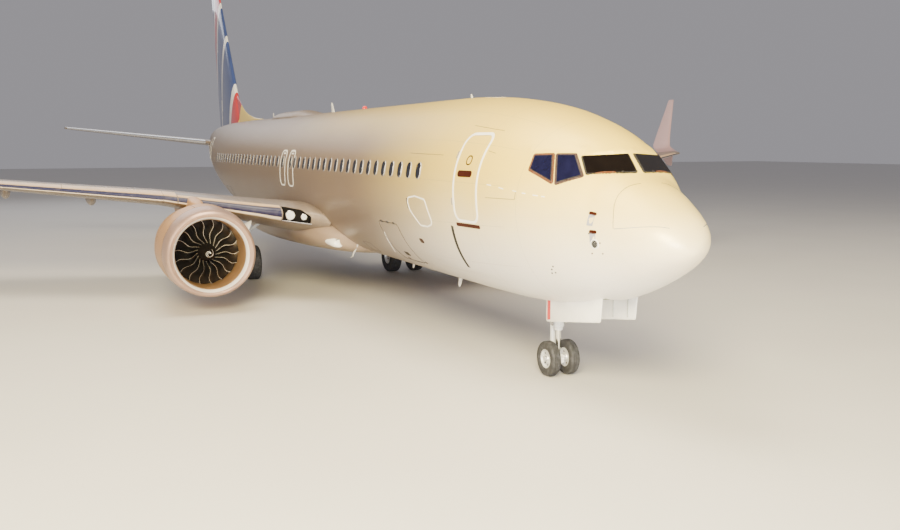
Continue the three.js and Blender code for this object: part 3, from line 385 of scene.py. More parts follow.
def rounded(corners, radius, inset=0.0, arc=6, edge=5):
    """Points round a convex outline with round corners, drawn in by inset."""
    corners, inward = inward_ways(corners)
    radius = max(radius - inset, 0.002)
    arcs = []
    for i, here in enumerate(inward):
        before = inward[i - 1]
        centre = corners[i] + (inset + radius) * (before + here) / (1 + np.dot(before, here))
        first = atan2(-before[1], -before[0])
        sweep = (atan2(-here[1], -here[0]) - first) % (2 * pi)
        steps = first + sweep * np.linspace(0, 1, arc)
        arcs.append(centre + radius * np.stack([np.cos(steps), np.sin(steps)], 1))
    points = []
    for i, turn in enumerate(arcs):
        shares = np.linspace(0, 1, edge + 2)[1:-1, None]
        points += [turn, turn[-1] + shares * (arcs[(i + 1) % len(arcs)][0] - turn[-1])]
    return np.concatenate(points)


def rectangle(middle, low, width, height):
    left, right, high = middle - width / 2, middle + width / 2, low + height
    return [(left, low), (right, low), (right, high), (left, high)]


def stand(name, solid):
    made = bpy.data.objects.new(name, solid.mesh(name))
    bpy.context.scene.collection.objects.link(made)
    return made


def carved(solid, *steps):
    """The solid after pairs of a sign and a solid: - takes away, + joins on, & keeps what both hold."""
    signs, others = steps[::2], steps[1::2]
    body, *spares = stands = [stand("spare", each) for each in (solid, *others)]
    for finish in range(max(max(each.finishes) for each in (solid, *others)) + 1):
        for spare in stands:
            name = f"finish_{finish}"
            spare.data.materials.append(bpy.data.materials.get(name) or bpy.data.materials.new(name))
    for sign, spare in zip(signs, spares):
        change = body.modifiers.new("cut", "BOOLEAN")
        change.operation = {"-": "DIFFERENCE", "+": "UNION", "&": "INTERSECT"}[sign]
        change.solver, change.object = "MANIFOLD", spare
    made = bpy.data.meshes.new_from_object(body.evaluated_get(bpy.context.evaluated_depsgraph_get()))
    points = np.zeros(len(made.vertices) * 3, np.float32)
    made.vertices.foreach_get("co", points)
    if not len(points):
        raise RuntimeError("a carved solid came out empty")
    numbers = [int(m.name.split("_")[1]) for m in made.materials]
    result = Solid().add(points, [tuple(p.vertices) for p in made.polygons])
    result.finishes = [numbers[p.material_index] for p in made.polygons]
    for data in [made] + [spare.data for spare in stands]:
        bpy.data.meshes.remove(data)
    return result


def carry_normals(mesh, source, limit=28):
    """Shades a carved mesh with the normals of the smooth form that it was cut from."""
    points = source.array()
    triangles = [(f[0], f[j], f[j + 1]) for f in source.faces for j in range(1, len(f) - 1)]
    corners = np.array(triangles)
    flat = np.cross(points[corners[:, 1]] - points[corners[:, 0]],
                    points[corners[:, 2]] - points[corners[:, 0]])
    normals = np.zeros_like(points)
    for k in range(3):
        np.add.at(normals, corners[:, k], flat)
    normals /= np.maximum(np.linalg.norm(normals, axis=1), 1e-12)[:, None]
    tree = BVHTree.FromPolygons(points.tolist(), triangles)
    guides = []
    for vertex in mesh.vertices:
        place, _, index, distance = tree.find_nearest(vertex.co)
        if place is None or distance > 2e-4:
            guides.append(None)
            continue
        a, b, c = points[corners[index]]
        v0, v1, v2 = b - a, c - a, np.array(place) - a
        d00, d01, d11, d20, d21 = v0 @ v0, v0 @ v1, v1 @ v1, v2 @ v0, v2 @ v1
        below = max(d00 * d11 - d01 * d01, 1e-18)
        v, w = (d11 * d20 - d01 * d21) / below, (d00 * d21 - d01 * d20) / below
        mixed = np.array((1 - v - w, v, w)) @ normals[corners[index]]
        guides.append(Vector(mixed).normalized() if np.linalg.norm(mixed) > 1e-9 else None)
    least = cos(radians(limit))
    found = []
    for face in mesh.polygons:
        for guide in (guides[i] for i in face.vertices):
            found.append(guide if guide is not None and guide.dot(face.normal) > least else face.normal.copy())
    mesh.normals_split_custom_set(found)


def piece(name, solid, finishes, body="airframe", slot="body_paint", angle=32, source=None):
    """A named piece of the airliner that rides on a CAD body. Finishes are materials or names from SMALL."""
    made = stand(name, solid)
    for finish in finishes.split() if isinstance(finishes, str) else finishes:
        made.data.materials.append(small_finish(finish) if isinstance(finish, str) else finish)
    made.data.polygons.foreach_set("use_smooth", [True] * len(made.data.polygons))
    if source is not None:
        carry_normals(made.data, source)
    else:
        made.data.set_sharp_from_angle(angle=radians(angle))
    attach(made, body)
    return made


def dress(node, suffix, *rest, **more):
    """A piece that takes the place of one CAD node and is named after it."""
    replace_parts(piece(f"{node}_{suffix}", *rest, **more), node)


# Finishes

class Value:
    """A number or colour that a finish works out at each place, and that takes sums and products."""

    def __init__(self, finish, socket):
        self.finish, self.socket = finish, socket

    def __add__(self, other):
        return self.finish.math("ADD", self, other)

    def __radd__(self, other):
        return self.finish.math("ADD", other, self)

    def __sub__(self, other):
        return self.finish.math("SUBTRACT", self, other)

    def __rsub__(self, other):
        return self.finish.math("SUBTRACT", other, self)

    def __mul__(self, other):
        return self.finish.math("MULTIPLY", self, other)


class Finish:
    """A procedural finish whose pattern sits in the row frame, in metres."""

    def __init__(self, name, metal=0.0, coat=0.0, coat_rough=0.1):
        self.material = bpy.data.materials.new(name)
        self.material.use_nodes = True
        self.tree = self.material.node_tree
        self.tree.nodes.clear()
        self.shader = self.node("BsdfPrincipled")
        self.node("OutputMaterial", self.shader)
        self.set(self.shader, Metallic=metal, Coat_Weight=coat, Coat_Roughness=coat_rough)
        self.place = self.node("TexCoord", out="Object")
        self.axes = self.split(self.place)

    def node(self, kind, *inputs, out=0, **settings):
        made = self.tree.nodes.new("ShaderNode" + kind)
        for key, value in settings.items():
            setattr(made, key, value)
        for index, value in enumerate(inputs):
            self.give(made.inputs[index], value)
        return Value(self, made.outputs[out] if made.outputs else made.inputs[0])

    def split(self, value):
        return [Value(self, part) for part in self.node("SeparateXYZ", value).socket.node.outputs]

    def give(self, socket, value):
        if isinstance(value, Value):
            self.tree.links.new(value.socket, socket)
        else:
            socket.default_value = (*value, 1.0) if socket.type == "RGBA" else value

    def set(self, value, **settings):
        """Gives inputs of the node behind a value, by their names with _ for a space."""
        for key, setting in settings.items():
            self.give(value.socket.node.inputs[key.replace("_", " ")], setting)

    def math(self, operation, *inputs):
        return self.node("Math", *inputs, operation=operation)

    def blend(self, factor, a, b):
        made = self.node("Mix", factor, data_type="RGBA", out=2)
        for index, value in ((6, a), (7, b)):
            self.give(made.socket.node.inputs[index], value)
        return made

    def mottled(self, mask, base, dark, light, low=0.3, high=0.7):
        """Two shades of a colour, mixed where a mask goes from low to high."""
        return self.blend(self.step(mask, low, high), shade(base, dark), shade(base, light))

    def step(self, value, low, high):
        """0 below low and 1 above high, smooth between them; the other way round where low is the higher."""
        flip = low > high
        return self.node("MapRange", value, min(low, high), max(low, high), float(flip), float(not flip),
                         interpolation_type="SMOOTHSTEP")

    def noise(self, scale, detail=3.0, stretch=None):
        made = self.node("TexNoise", self.node("Mapping", self.place, (0, 0, 0), (0, 0, 0), stretch)
                         if stretch else self.place)
        self.set(made, Scale=scale, Detail=detail, Roughness=0.55)
        return made

    def comb(self, value, pitch, half):
        """1 on lines that stand a pitch apart, half wide to each side."""
        return self.step(self.math("PINGPONG", value, pitch / 2), half * 1.4, half * 0.6)

    def line(self, value, centre, half):
        return self.step(self.math("ABSOLUTE", value - centre), half * 1.3, half * 0.7)

    def most(self, *masks):
        total = masks[0]
        for mask in masks[1:]:
            total = self.math("MAXIMUM", total, mask)
        return total

    def done(self, colour, rough, height=None, depth=0.001, strength=0.6):
        self.set(self.shader, Base_Color=colour, Roughness=rough)
        if height is not None:
            bump = self.node("Bump")
            self.set(bump, Strength=strength, Distance=depth, Height=height)
            self.set(self.shader, Normal=bump)
        return self.material


def shade(colour, share):
    return tuple(min(max(c * share, 0.0), 1.0) for c in colour)


def known(name, make, *values, **more):
    """The material of a name, made on its first use."""
    return bpy.data.materials.get(name) or make(name, *values, **more)


# Small parts' finishes: base, roughness, metal, coat, mottling, grain scale, grain depth, edge wear
SMALL = {
    "white_enamel": ((0.83, 0.82, 0.79), 0.32, 0.0, 0.4, 0.06, 90, 0.0002, 0.10),
    "band_enamel": ((0.95, 0.94, 0.90), 0.38, 0.0, 0.2, 0.03, 120, 0.0002, 0.0),
    "gear_enamel": ((0.74, 0.75, 0.74), 0.36, 0.0, 0.3, 0.12, 60, 0.0004, 0.35),
    "door_lining": ((0.62, 0.63, 0.60), 0.42, 0.0, 0.1, 0.12, 50, 0.0004, 0.20),
    "bay_primer": ((0.33, 0.36, 0.22), 0.55, 0.0, 0.0, 0.25, 30, 0.0005, 0.30),
    "steel": ((0.60, 0.60, 0.61), 0.24, 1.0, 0.0, 0.10, 300, 0.0001, 0.15),
    "chrome": ((0.83, 0.84, 0.85), 0.07, 1.0, 0.0, 0.03, 500, 0.00003, 0.0),
    "dark_steel": ((0.09, 0.075, 0.07), 0.42, 0.8, 0.0, 0.25, 150, 0.0003, 0.25),
    "seal_black": ((0.007, 0.006, 0.006), 0.62, 0.0, 0.0, 0.25, 200, 0.0003, 0.10),
    "hose_black": ((0.03, 0.03, 0.032), 0.5, 0.0, 0.1, 0.2, 400, 0.0004, 0.0),
    "frame_tan": ((0.11, 0.030, 0.004), 0.40, 0.0, 0.0, 0.20, 60, 0.0002, 0.10),
    "frame_plum": ((0.040, 0.016, 0.014), 0.40, 0.0, 0.0, 0.20, 60, 0.0002, 0.10),
    "probe_brown": ((0.035, 0.008, 0.004), 0.35, 0.0, 0.0, 0.20, 60, 0.0002, 0.0),
    "plate_grey": ((0.36, 0.36, 0.42), 0.4, 0.3, 0.1, 0.05, 90, 0.0001, 0.0),
    "lip_tan": ((0.50, 0.34, 0.27), 0.34, 0.6, 0.0, 0.06, 90, 0.0001, 0.0),
    # The next two: the inside of the bare lip, near-white as a painted highlight, and the inlet barrel,
    # orange-brown as painted shade over the liner.
    "inlet_lip": ((0.95, 0.90, 0.86), 0.34, 0.3, 0.0, 0.05, 90, 0.0001, 0.0),
    "inlet_barrel": ((0.50, 0.30, 0.15), 0.36, 0.6, 0.0, 0.08, 90, 0.0002, 0.0),
    # The fan blades' real metal edge strips, painted near-white and warm as a painted highlight.
    "blade_edge": ((0.92, 0.86, 0.76), 0.28, 0.5, 0.0, 0.05, 200, 0.0001, 0.0),
    "surround_grey": ((0.55, 0.52, 0.50), 0.24, 0.5, 0.3, 0.06, 120, 0.0001, 0.0),
    "wheel_paint": ((0.66, 0.67, 0.68), 0.36, 0.4, 0.2, 0.14, 60, 0.0004, 0.30),
    "red_enamel": ((0.55, 0.03, 0.025), 0.32, 0.0, 0.3, 0.10, 60, 0.0002, 0.0),
    # The underside of the cowl strakes, orange as painted shade.
    "orange_enamel": ((0.55, 0.17, 0.03), 0.34, 0.0, 0.3, 0.10, 60, 0.0002, 0.05),
    "vane_grey": ((0.23, 0.23, 0.24), 0.42, 0.7, 0.0, 0.12, 80, 0.0003, 0.1),
}


def small_finish(name):
    return known(name, worn_finish, *SMALL[name])


def worn_finish(name, base, rough, metal, coat, mottling, grain, depth, wear):
    """Mottled and grained enamel, rubber or metal, rubbed through at its edges."""
    f = Finish(name, metal, coat)
    f.set(f.shader, Specular_IOR_Level=0.08 if max(base) < 0.12 else 0.5)
    cloudy, fine = f.noise(2.3, 5), f.noise(grain, 2)
    colour = f.mottled(cloudy, base, 1 - mottling, 1 + mottling)
    colour = f.blend(f.step(fine, 0.5, 0.8) * 0.5, colour, shade(base, 1 - 1.5 * mottling))
    if wear:
        edge = f.node("NewGeometry", out="Pointiness")
        colour = f.blend(f.step(edge, 0.52, 0.58) * (f.step(fine, 0.35, 0.65) * wear), colour,
                         (0.55, 0.54, 0.52) if max(base) < 0.5 else shade(base, 0.55))
    return f.done(colour, rough - 0.05 + cloudy * 0.1, fine, depth)


def body_finish(name, base, low, grime, aft=None, joints=(), laps=True, clean=1.0):
    """Mica paint over riveted skin, streaked with dirt towards the keel, with light and shade painted in by
    place: a low colour towards the keel, an aft colour as painted shade over the rear body, and a lighter
    crown as painted light.
    """
    f = Finish(name, 0.12, 0.22, 0.28)
    x, y, z = f.axes
    cloudy, streaks, flake = f.noise(0.7, 5), f.noise(1.6, 6, (1.2, 0.16, 2.5)), f.noise(900, 1)
    # Painted light and shade by height: the colour runs from the low colour below to the base above; a paler
    # low colour is painted light from below, a darker one painted shade.
    colour = f.blend(f.step(z + cloudy * 0.4, 2.0, 4.3), low, base)
    if aft is not None:
        # Painted shade: the aft colour darkens the rear body, and the crown term holds the top of it lighter
        # as painted light.
        crown = f.step(z, 4.3, 5.4) * f.step(y, 1.0, -12.0)
        colour = f.blend(f.step(y, -17.6, -8.5) * (0.95 - crown * 0.5), colour, aft)
    colour = f.blend(f.step(cloudy, 0.3, 0.75) * 0.4, colour, f.blend(0.08, colour, grime))
    colour = f.blend(f.step(flake, 0.55, 0.75) * 0.22, colour, shade(base, 1.15))
    dirt = f.step(streaks, 0.5, 0.78) * f.step(z, 2.6, 1.7) * f.step(y, -17.5, -11.0)
    colour = f.blend(dirt * (0.5 * clean), colour, grime)
    angle = f.math("ARCTAN2", z - (BODY_MID + 0.1), x)
    seams = f.comb(y + 0.235, 2.54, 0.0035)
    if laps:
        seams = f.most(seams, f.comb(angle + 0.11, pi / 7, 0.0018))
    seams = seams * f.step(y, -16.6, -16.3)
    seams = f.most(seams, *[f.line(y, joint - LENGTH / 2, 0.0035) for joint in joints])
    hoops, rows = f.comb(y + 0.019, 0.508, 0.006), f.comb(angle, pi / 28, 0.0035)
    dots_round, dots_along = f.comb(angle, 0.0138, 0.0022), f.comb(y, 0.026, 0.0042)
    rivets = f.most(hoops * dots_round, rows * dots_along)
    colour = f.blend(seams * 0.40, colour, shade(grime, 0.8))
    colour = f.blend(rivets * 0.10, colour, shade(grime, 0.9))
    return f.done(colour, 0.36 + (cloudy + dirt) * 0.10, f.noise(1.9, 2) * 0.8 - (seams + rivets * 0.35),
                  0.0022, 0.5)


def wing_finish(name, base, grime, spars=0.62, ribs=0.66):
    """Satin paint over wing skins, with rib and spar lines, fastener rows and streaks along the airflow."""
    f = Finish(name, 0.15, 0.25, 0.15)
    x, y, z = f.axes
    span = f.math("ABSOLUTE", x)
    swept = y - span * 0.50
    cloudy, streaks = f.noise(0.9, 5), f.noise(2.2, 6, (3.0, 0.25, 1.0))
    colour = f.mottled(cloudy, base, 0.93, 1.06)
    colour = f.blend(f.step(streaks, 0.52, 0.75) * 0.4, colour, grime)
    seams = f.most(f.comb(swept, spars, 0.003), f.comb(span, ribs * 3, 0.003))
    rivets = f.most(f.comb(span, ribs, 0.006) * f.comb(y, 0.03, 0.005),
                    f.comb(swept, spars / 2, 0.006) * f.comb(span, 0.03, 0.005))
    colour = f.blend(seams * 0.45, colour, shade(grime, 0.7))
    colour = f.blend(rivets * 0.2, colour, shade(grime, 0.8))
    return f.done(colour, 0.34 + cloudy * 0.12, f.noise(2.5, 2) * 0.5 - (seams + rivets * 0.4), 0.002, 0.5)


def tail_finish(name, navy, red, white, silver):
    """Broad bands that sweep up the fin on arcs about a far centre, under gloss."""
    f = Finish(name, 0.05, 0.8, 0.06)
    _, y, z = f.axes
    centre_y, centre_z = -2.0, 2.0
    off_y, off_z = y - centre_y, z - centre_z
    reach = f.math("SQRT", off_y * off_y + off_z * off_z)
    cloudy, fine = f.noise(1.1, 4), f.noise(160, 2)
    colour = f.mottled(cloudy, silver, 0.95, 1.04)
    for edge, tint in ((15.0, red), (16.1, white), (16.5, navy), (18.6, white), (18.9, navy), (20.4, white),
                       (20.7, red), (21.6, white), (21.9, navy)):
        colour = f.blend(f.step(reach, edge - 0.004, edge + 0.004), colour, f.mottled(cloudy, tint, 0.9, 1.1))
    seams = f.most(f.comb(z + 0.1, 1.3, 0.003), f.line(y - z * 0.71, 9.15, 0.003))
    rivets = f.comb(z, 0.325, 0.005) * f.comb(y, 0.03, 0.005)
    colour = f.blend(seams * 0.4, colour, (0.05, 0.05, 0.06))
    return f.done(colour, 0.24 + cloudy * 0.12, fine * 0.06 - (seams + rivets * 0.4), 0.0018, 0.5)


def polished_finish(name, base):
    """Bare polished edge with faint smears and pitting."""
    f = Finish(name, 1.0)
    smears, pits = f.noise(3.0, 6, (1, 2.5, 1)), f.noise(240, 2)
    colour = f.blend(f.step(smears, 0.35, 0.7), shade(base, 0.9), base)
    colour = f.blend(f.step(pits, 0.66, 0.78) * 0.5, colour, shade(base, 0.6))
    return f.done(colour, 0.09 + smears * 0.14, pits, 0.0002, 0.3)


def hot_finish(name, base):
    """Bare heat-stained metal, straw to blue, with rolled grain along the jet."""
    f = Finish(name, 0.95)
    stain = f.noise(1.7, 4) + f.math("SINE", f.axes[1] * 3.1) * 0.18
    grain = f.noise(60, 3, (1, 0.08, 1))
    colour = f.blend(f.step(stain, 0.3, 0.55), shade(base, 1.1), (0.50, 0.38, 0.25))
    colour = f.blend(f.step(stain, 0.55, 0.8), colour, (0.26, 0.25, 0.30))
    colour = f.blend(f.step(grain, 0.5, 0.8) * 0.4, colour, shade(base, 0.55))
    return f.done(colour, 0.24 + grain * 0.25, grain, 0.0006)


def blade_finish(name, base):
    """Satin fan blade, brushed from root to tip."""
    f = Finish(name, 0.75, 0.25, 0.2)
    brushed, cloudy = f.noise(220, 3, (1, 1, 0.12)), f.noise(4, 4)
    colour = f.mottled(cloudy, base, 0.8, 1.25)
    colour = f.blend(f.step(brushed, 0.5, 0.75) * 0.35, colour, shade(base, 1.6))
    return f.done(colour, 0.22 + brushed * 0.16, brushed, 0.0002, 0.4)


def rubber_finish(name, base):
    """Worn tyre rubber, dusty on its tread and scuffed on its walls."""
    f = Finish(name)
    scuffs, dust = f.noise(14, 6), f.noise(130, 3)
    colour = f.blend(f.step(scuffs, 0.4, 0.75), base, shade(base, 2.6))
    colour = f.blend(f.step(dust, 0.55, 0.8) * 0.35, colour, (0.16, 0.14, 0.12))
    return f.done(colour, 0.62 + dust * 0.25, dust, 0.0009, 0.7)


def glass_finish(name, base, rough=0.05):
    """Dark glass with faint smears, over a darker cabin."""
    f = Finish(name, 0.0, 0.1, 0.03)
    f.set(f.shader, IOR=1.3)
    smears = f.noise(7, 5)
    return f.done(f.mottled(smears, base, 0.85, 1.2, 0.3, 0.75), rough + smears * 0.08, f.noise(40, 2), 0.0001,
                  0.2)


def lamp_finish(name, base, glow=0.3):
    """Clear or tinted lamp glass over a bright reflector."""
    f = Finish(name, 0.1, 1.0, 0.03)
    cells = f.noise(60, 2)
    f.set(f.shader, Emission_Color=base, Emission_Strength=glow)
    return f.done(f.blend(f.step(cells, 0.35, 0.7), shade(base, 0.7), base), 0.06 + cells * 0.08, cells,
                  0.0004, 0.4)


def facing_painted_edge_finish(name):
    """Satin leading edges, with light, shade and reflection painted in by the way each face looks: a dark navy
    face as a painted dark reflection, a pale painted highlight along the lip below it, warm painted light
    above, and painted shade on faces that look straight down.
    """
    f = Finish(name, 0.0, 0.12)
    facing = f.split(f.node("NewGeometry", out="Normal"))[2]
    smears = f.noise(3.0, 6, (1, 2.5, 1))
    # Painted reflection: the dark navy base stands for a dark reflection on the edge's face.
    colour = (0.014, 0.016, 0.055)
    # Painted light and shade by facing: warm painted light on faces that look up, a pale painted highlight on
    # faces that look half down, painted shade on faces that look straight down.
    for low, high, tint in ((0.84, 0.93, (0.60, 0.42, 0.24)), (-0.42, -0.55, (0.85, 0.72, 0.56)),
                            (-0.70, -0.82, (0.16, 0.12, 0.08))):
        colour = f.blend(f.step(facing, low, high), colour, tint)
    colour = f.blend(f.step(smears, 0.4, 0.75) * 0.2, colour, (0.14, 0.12, 0.14))
    return f.done(colour, 0.28 + smears * 0.12, f.noise(240, 2), 0.0002, 0.3)


# Places on the fuselage

def body_row(station):
    along = np.sqrt(np.clip(station, 0, None))
    return [eased(np.sqrt(BODY[:, 0]), BODY[:, k], along) for k in range(1, 5)]


def body_points(station, angle, inset=0.0):
    crown, keel, waist, half = body_row(station)
    up = np.sin(angle)
    reach = np.where(up > 0, crown - waist, waist - keel)
    return at((half - inset) * np.cos(angle), station,
              BODY_MID + waist + np.maximum(reach - inset, 0.001) * up)


def body_place(points):
    station = points[..., 1] + LENGTH / 2
    crown, keel, waist, half = body_row(station)
    up = points[..., 2] - BODY_MID - waist
    reach = np.where(up > 0, crown - waist, waist - keel)
    return station, np.arctan2(up / reach, points[..., 0] / half)


def snap(points):
    """The nearest places on the skin, in the plane of each station."""
    return body_points(*body_place(np.asarray(points, float)))


def body_normals(points):
    station, angle = body_place(np.asarray(points, float))
    step = 1e-3
    along = body_points(station + step, angle) - body_points(np.maximum(station - step, 0), angle)
    around = body_points(station, angle + step) - body_points(station, angle - step)
    return unit(np.cross(around, along))


def on_side(station, rise, side):
    """The skin at a station and a height above BODY_MID, on one side."""
    station, rise = np.broadcast_arrays(np.asarray(station, float), np.asarray(rise, float))
    crown, keel, waist, half = body_row(station)
    up = rise - waist
    angle = np.arcsin(np.clip(up / np.where(up > 0, crown - waist, waist - keel), -1, 1))
    return body_points(station, angle if side > 0 else pi - angle)


def on_top(station, x, below=False):
    """The skin at a station and a distance from the centre plane, on the crown or the keel."""
    station, x = np.broadcast_arrays(np.asarray(station, float), np.asarray(x, float))
    angle = np.arccos(np.clip(x / body_row(station)[3], -1, 1))
    return body_points(station, -angle if below else angle)


class Patch:
    """A convex outline with round corners, laid on the skin or held flat."""

    def __init__(self, corners, radius, side=0, flat=False):
        corners = np.asarray(corners, float)
        self.radius, self.side, self.flat = radius, side, flat
        if side:
            self.corners = corners
            return
        self.origin = corners.mean(0)
        out = unit(np.cross(corners[2] - corners[0], corners[1] - corners[-1]))
        self.out = out if np.dot(out, body_normals(snap(self.origin))) > 0 else -out
        first = corners[1] - corners[0]
        self.first = unit(first - self.out * np.dot(first, self.out))
        self.second = np.cross(self.out, self.first)
        self.corners = self.places(corners)

    def places(self, points):
        return np.stack([(points - self.origin) @ self.first, (points - self.origin) @ self.second], 1)

    def ring(self, inset, lift, size=1.0):
        flat = rounded(self.corners, self.radius, inset, 6,
                       max(5, int(np.ptp(self.corners, axis=0).max() / 0.07)))
        flat = flat.mean(0) + (flat - flat.mean(0)) * size
        if self.side:
            points = on_side(flat[:, 0], flat[:, 1], self.side)
        else:
            points = self.origin + flat[:, :1] * self.first + flat[:, 1:] * self.second
            if self.flat:
                return points + lift * self.out
            points = snap(points)
        return points + lift * body_normals(points)

    def pocket(self, depth, grow=0.0):
        return loft([self.ring(-grow, -depth), self.ring(-grow, -depth / 2), self.ring(-grow, 0.05)])

    def band(self, inner, outer, lift, sunk=0.004):
        """A flat strip round the outline, from inset inner to inset outer."""
        places = ((outer, -sunk), (outer, lift), (inner, lift), (inner, -sunk))
        return loft([self.ring(*place) for place in places], closed=True)

    def cover(self, *rows):
        """A sheet from the outline to its middle, through rows of inset and lift."""
        middle = [self.ring(*rows[-1], size) for size in (0.7, 0.4, 0.12)]
        return loft([self.ring(*row) for row in rows] + middle)

    def seat(self, points):
        """How far outside the outline each point lies, and its height above the flat of the patch."""
        corners, inward = inward_ways(self.corners)
        places = self.places(points)
        away = np.max([(corner - places) @ way for corner, way in zip(corners, inward)], axis=0)
        return np.maximum(away, 0), (points - self.origin) @ self.out


def plate(side, middle, low, width, height, radius):
    """A patch with its middle at a station and its lower edge at a height above BODY_MID."""
    return Patch(rectangle(middle, low, width, height), radius, side)


def strip(path, width, lift, sunk=0.004):
    """A flat strip along a path on the skin."""
    path = snap(path)
    normals = body_normals(path)
    sideways = unit(np.cross(np.gradient(path, axis=0), normals)) * (width / 2)
    return loft(np.stack([path + sideways * way + normals * rise for way, rise in (
        (1, -sunk), (1, lift), (-1, lift), (-1, -sunk))], 1))


def side_path(points, side, count=14):
    """Points on one side through a few places of station and height, evenly filled in."""
    points = np.asarray(points, float)
    index = np.arange(len(points))
    fill = eased if len(points) > 2 else lambda xs, ys, x: np.interp(x, xs, ys)
    share = np.linspace(0, len(points) - 1, count)
    return on_side(fill(index, points[:, 0], share), fill(index, points[:, 1], share), side)


def body_solid(inset=0.0, start=0.0, end=BODY_END, rows=210, sides=112):
    along = np.linspace(sqrt(start), sqrt(end), rows) ** 2 if np.ndim(rows) == 0 else rows
    return loft([body_points(np.full(sides, s), turns(sides), inset) for s in along])


def skin_rows():
    """Sections along the skin, close together round the cockpit panes."""
    return np.concatenate([np.linspace(0, sqrt(1.2), 36) ** 2, np.arange(1.222, 3.3, 0.022),
                           np.arange(3.32, 9, 0.12), np.arange(9, 23.9, 0.3), np.linspace(24, BODY_END, 100)])


def seated(points):
    """Skin points, flattened under the cockpit panes and eased back to the round form beyond them."""
    near = points[:, 1] < 4 - LENGTH / 2
    shares, pulls, holds = 0, 0, 0
    for _, _, patch in pane_patches():
        away, height = patch.seat(points[near])
        rise = np.clip((points[near][:, 2] - patch.origin[2]) / 0.2 + 0.5, 0, 1)
        fade = np.where(height > 0, PANE_FADE["below"] + rise * (PANE_FADE["in"] - PANE_FADE["below"]),
                        PANE_FADE["out"])
        hold = np.clip(1 - away / fade, 0, 1) * (np.abs(height) < 0.35)
        hold = hold * hold * (3 - 2 * hold)
        share = hold / (away + 0.006) ** 2
        shares, pulls = shares + share, pulls - (share * height)[:, None] * patch.out
        holds = np.maximum(holds, hold)
    moved = points.copy()
    moved[near] += pulls / np.maximum(shares, 1e-9)[:, None] * holds[:, None]
    return moved


def ahead_of_seam(gap):
    edge = lambda z: (RADOME_SEAM["station"] + gap + RADOME_SEAM["lean"] * z, BODY_MID + z)
    return block("x", [(-1, BODY_MID - 3), edge(-3), edge(3), (-1, BODY_MID + 3)], -FAR, FAR)


def door_block(side, station, width, height, sill, corner, margin=0.0):
    outline = rounded(rectangle(station, BODY_MID + sill - margin, width + 2 * margin, height + 2 * margin),
                      corner, 0, 6, 2)
    return block("x", outline, side * 0.5, side * 2.1)


def well_solid(side):
    x, s = side * WHEEL_WELL["x"], WHEEL_WELL["station"]
    top = BODY_MID + WHEEL_WELL["roof"]
    return rod(at(x, s, 0.5), at(x, s, top), WHEEL_WELL["radius"], sides=64, finish=1)


def exits():
    for tag, side in SIDES.items():
        for place, station in EXIT_STATIONS.items():
            yield f"overwing_exit_{tag}_{place}", f"exit_{tag}_{place}", side, station


class BodySizes(bpy.types.PropertyGroup):
    sides: bpy.props.IntProperty(name="Sides", description="Faces round the fuselage skin", default=160,
                                 min=32)
    window_first: bpy.props.FloatProperty(name="First window", description="Station of the first cabin window",
                                          default=6.56, unit="LENGTH")
    window_pitch: bpy.props.FloatProperty(name="Window pitch", description="From one cabin window to the next",
                                          default=0.508, unit="LENGTH")
    window_count: bpy.props.IntProperty(name="Windows", description="Cabin windows to a side", default=45)
    window_height: bpy.props.FloatProperty(name="Window height",
                                           description="Opening height of a cabin window",
                                           default=0.345, unit="LENGTH")
    window_width: bpy.props.FloatProperty(name="Window width", description="Opening width of a cabin window",
                                          default=0.235, unit="LENGTH")
    window_rise: bpy.props.FloatProperty(name="Window rise",
                                         description="Window middles above the body's middle",
                                         default=0.466, unit="LENGTH")
    band: bpy.props.FloatProperty(name="Door band", description="Width of the painted band round a door",
                                  default=0.050, unit="LENGTH")


class PaintColours(bpy.types.PropertyGroup):
    body: bpy.props.FloatVectorProperty(name="Body", description="Mica paint of the fuselage", subtype="COLOR",
                                        default=(0.92, 0.68, 0.085))
    # The aft colour is a dark brown painted shade over the rear body, not a second paint.
    aft: bpy.props.FloatVectorProperty(name="Aft body", description="Paint behind the wing root",
                                       subtype="COLOR", default=(0.135, 0.090, 0.076))
    # The keel colour is a white painted light, blended in towards the keel of the fuselage and the radome.
    keel: bpy.props.FloatVectorProperty(name="Keel", description="Paint towards the keel", subtype="COLOR",
                                        default=(0.86, 0.84, 0.82))
    grime: bpy.props.FloatVectorProperty(name="Grime", description="Dirt along the keel", subtype="COLOR",
                                         default=(0.33, 0.27, 0.20))
    wing: bpy.props.FloatVectorProperty(name="Wing", description="Satin paint of the wings", subtype="COLOR",
                                        default=(0.20, 0.155, 0.12))
    navy: bpy.props.FloatVectorProperty(name="Navy", description="Dark bands of the fin", subtype="COLOR",
                                        default=(0.035, 0.06, 0.19))
    red: bpy.props.FloatVectorProperty(name="Red", description="Warm bands of the fin", subtype="COLOR",
                                       default=(0.50, 0.03, 0.03))
    white: bpy.props.FloatVectorProperty(name="White", description="Light bands of the fin", subtype="COLOR",
                                         default=(0.80, 0.79, 0.77))
    blade: bpy.props.FloatVectorProperty(name="Fan blade", description="Metal of the fan blades",
                                         subtype="COLOR", default=(0.035, 0.033, 0.032))
    hot: bpy.props.FloatVectorProperty(name="Hot metal", description="Metal of the nozzles", subtype="COLOR",
                                       default=(0.42, 0.37, 0.32))
    cowl: bpy.props.FloatVectorProperty(name="Cowl", description="Paint of the engine cowls", subtype="COLOR",
                                        default=(0.52, 0.29, 0.12))
    bright: bpy.props.FloatVectorProperty(name="Bright edge", description="Bare polished leading edges",
                                          subtype="COLOR", default=(0.86, 0.85, 0.83))


def body_sizes():
    return bpy.context.scene.airliner_body


def colours():
    return bpy.context.scene.airliner_paint


def skin_finish():
    c = colours()
    # Mica paint with a white keel as painted light and a dark aft body as painted shade.
    return known("mica_paint", body_finish, c.body, c.keel, c.grime, c.aft, (2.93,))


def satin_finish():
    return known("wing_satin", wing_finish, colours().wing, colours().grime)


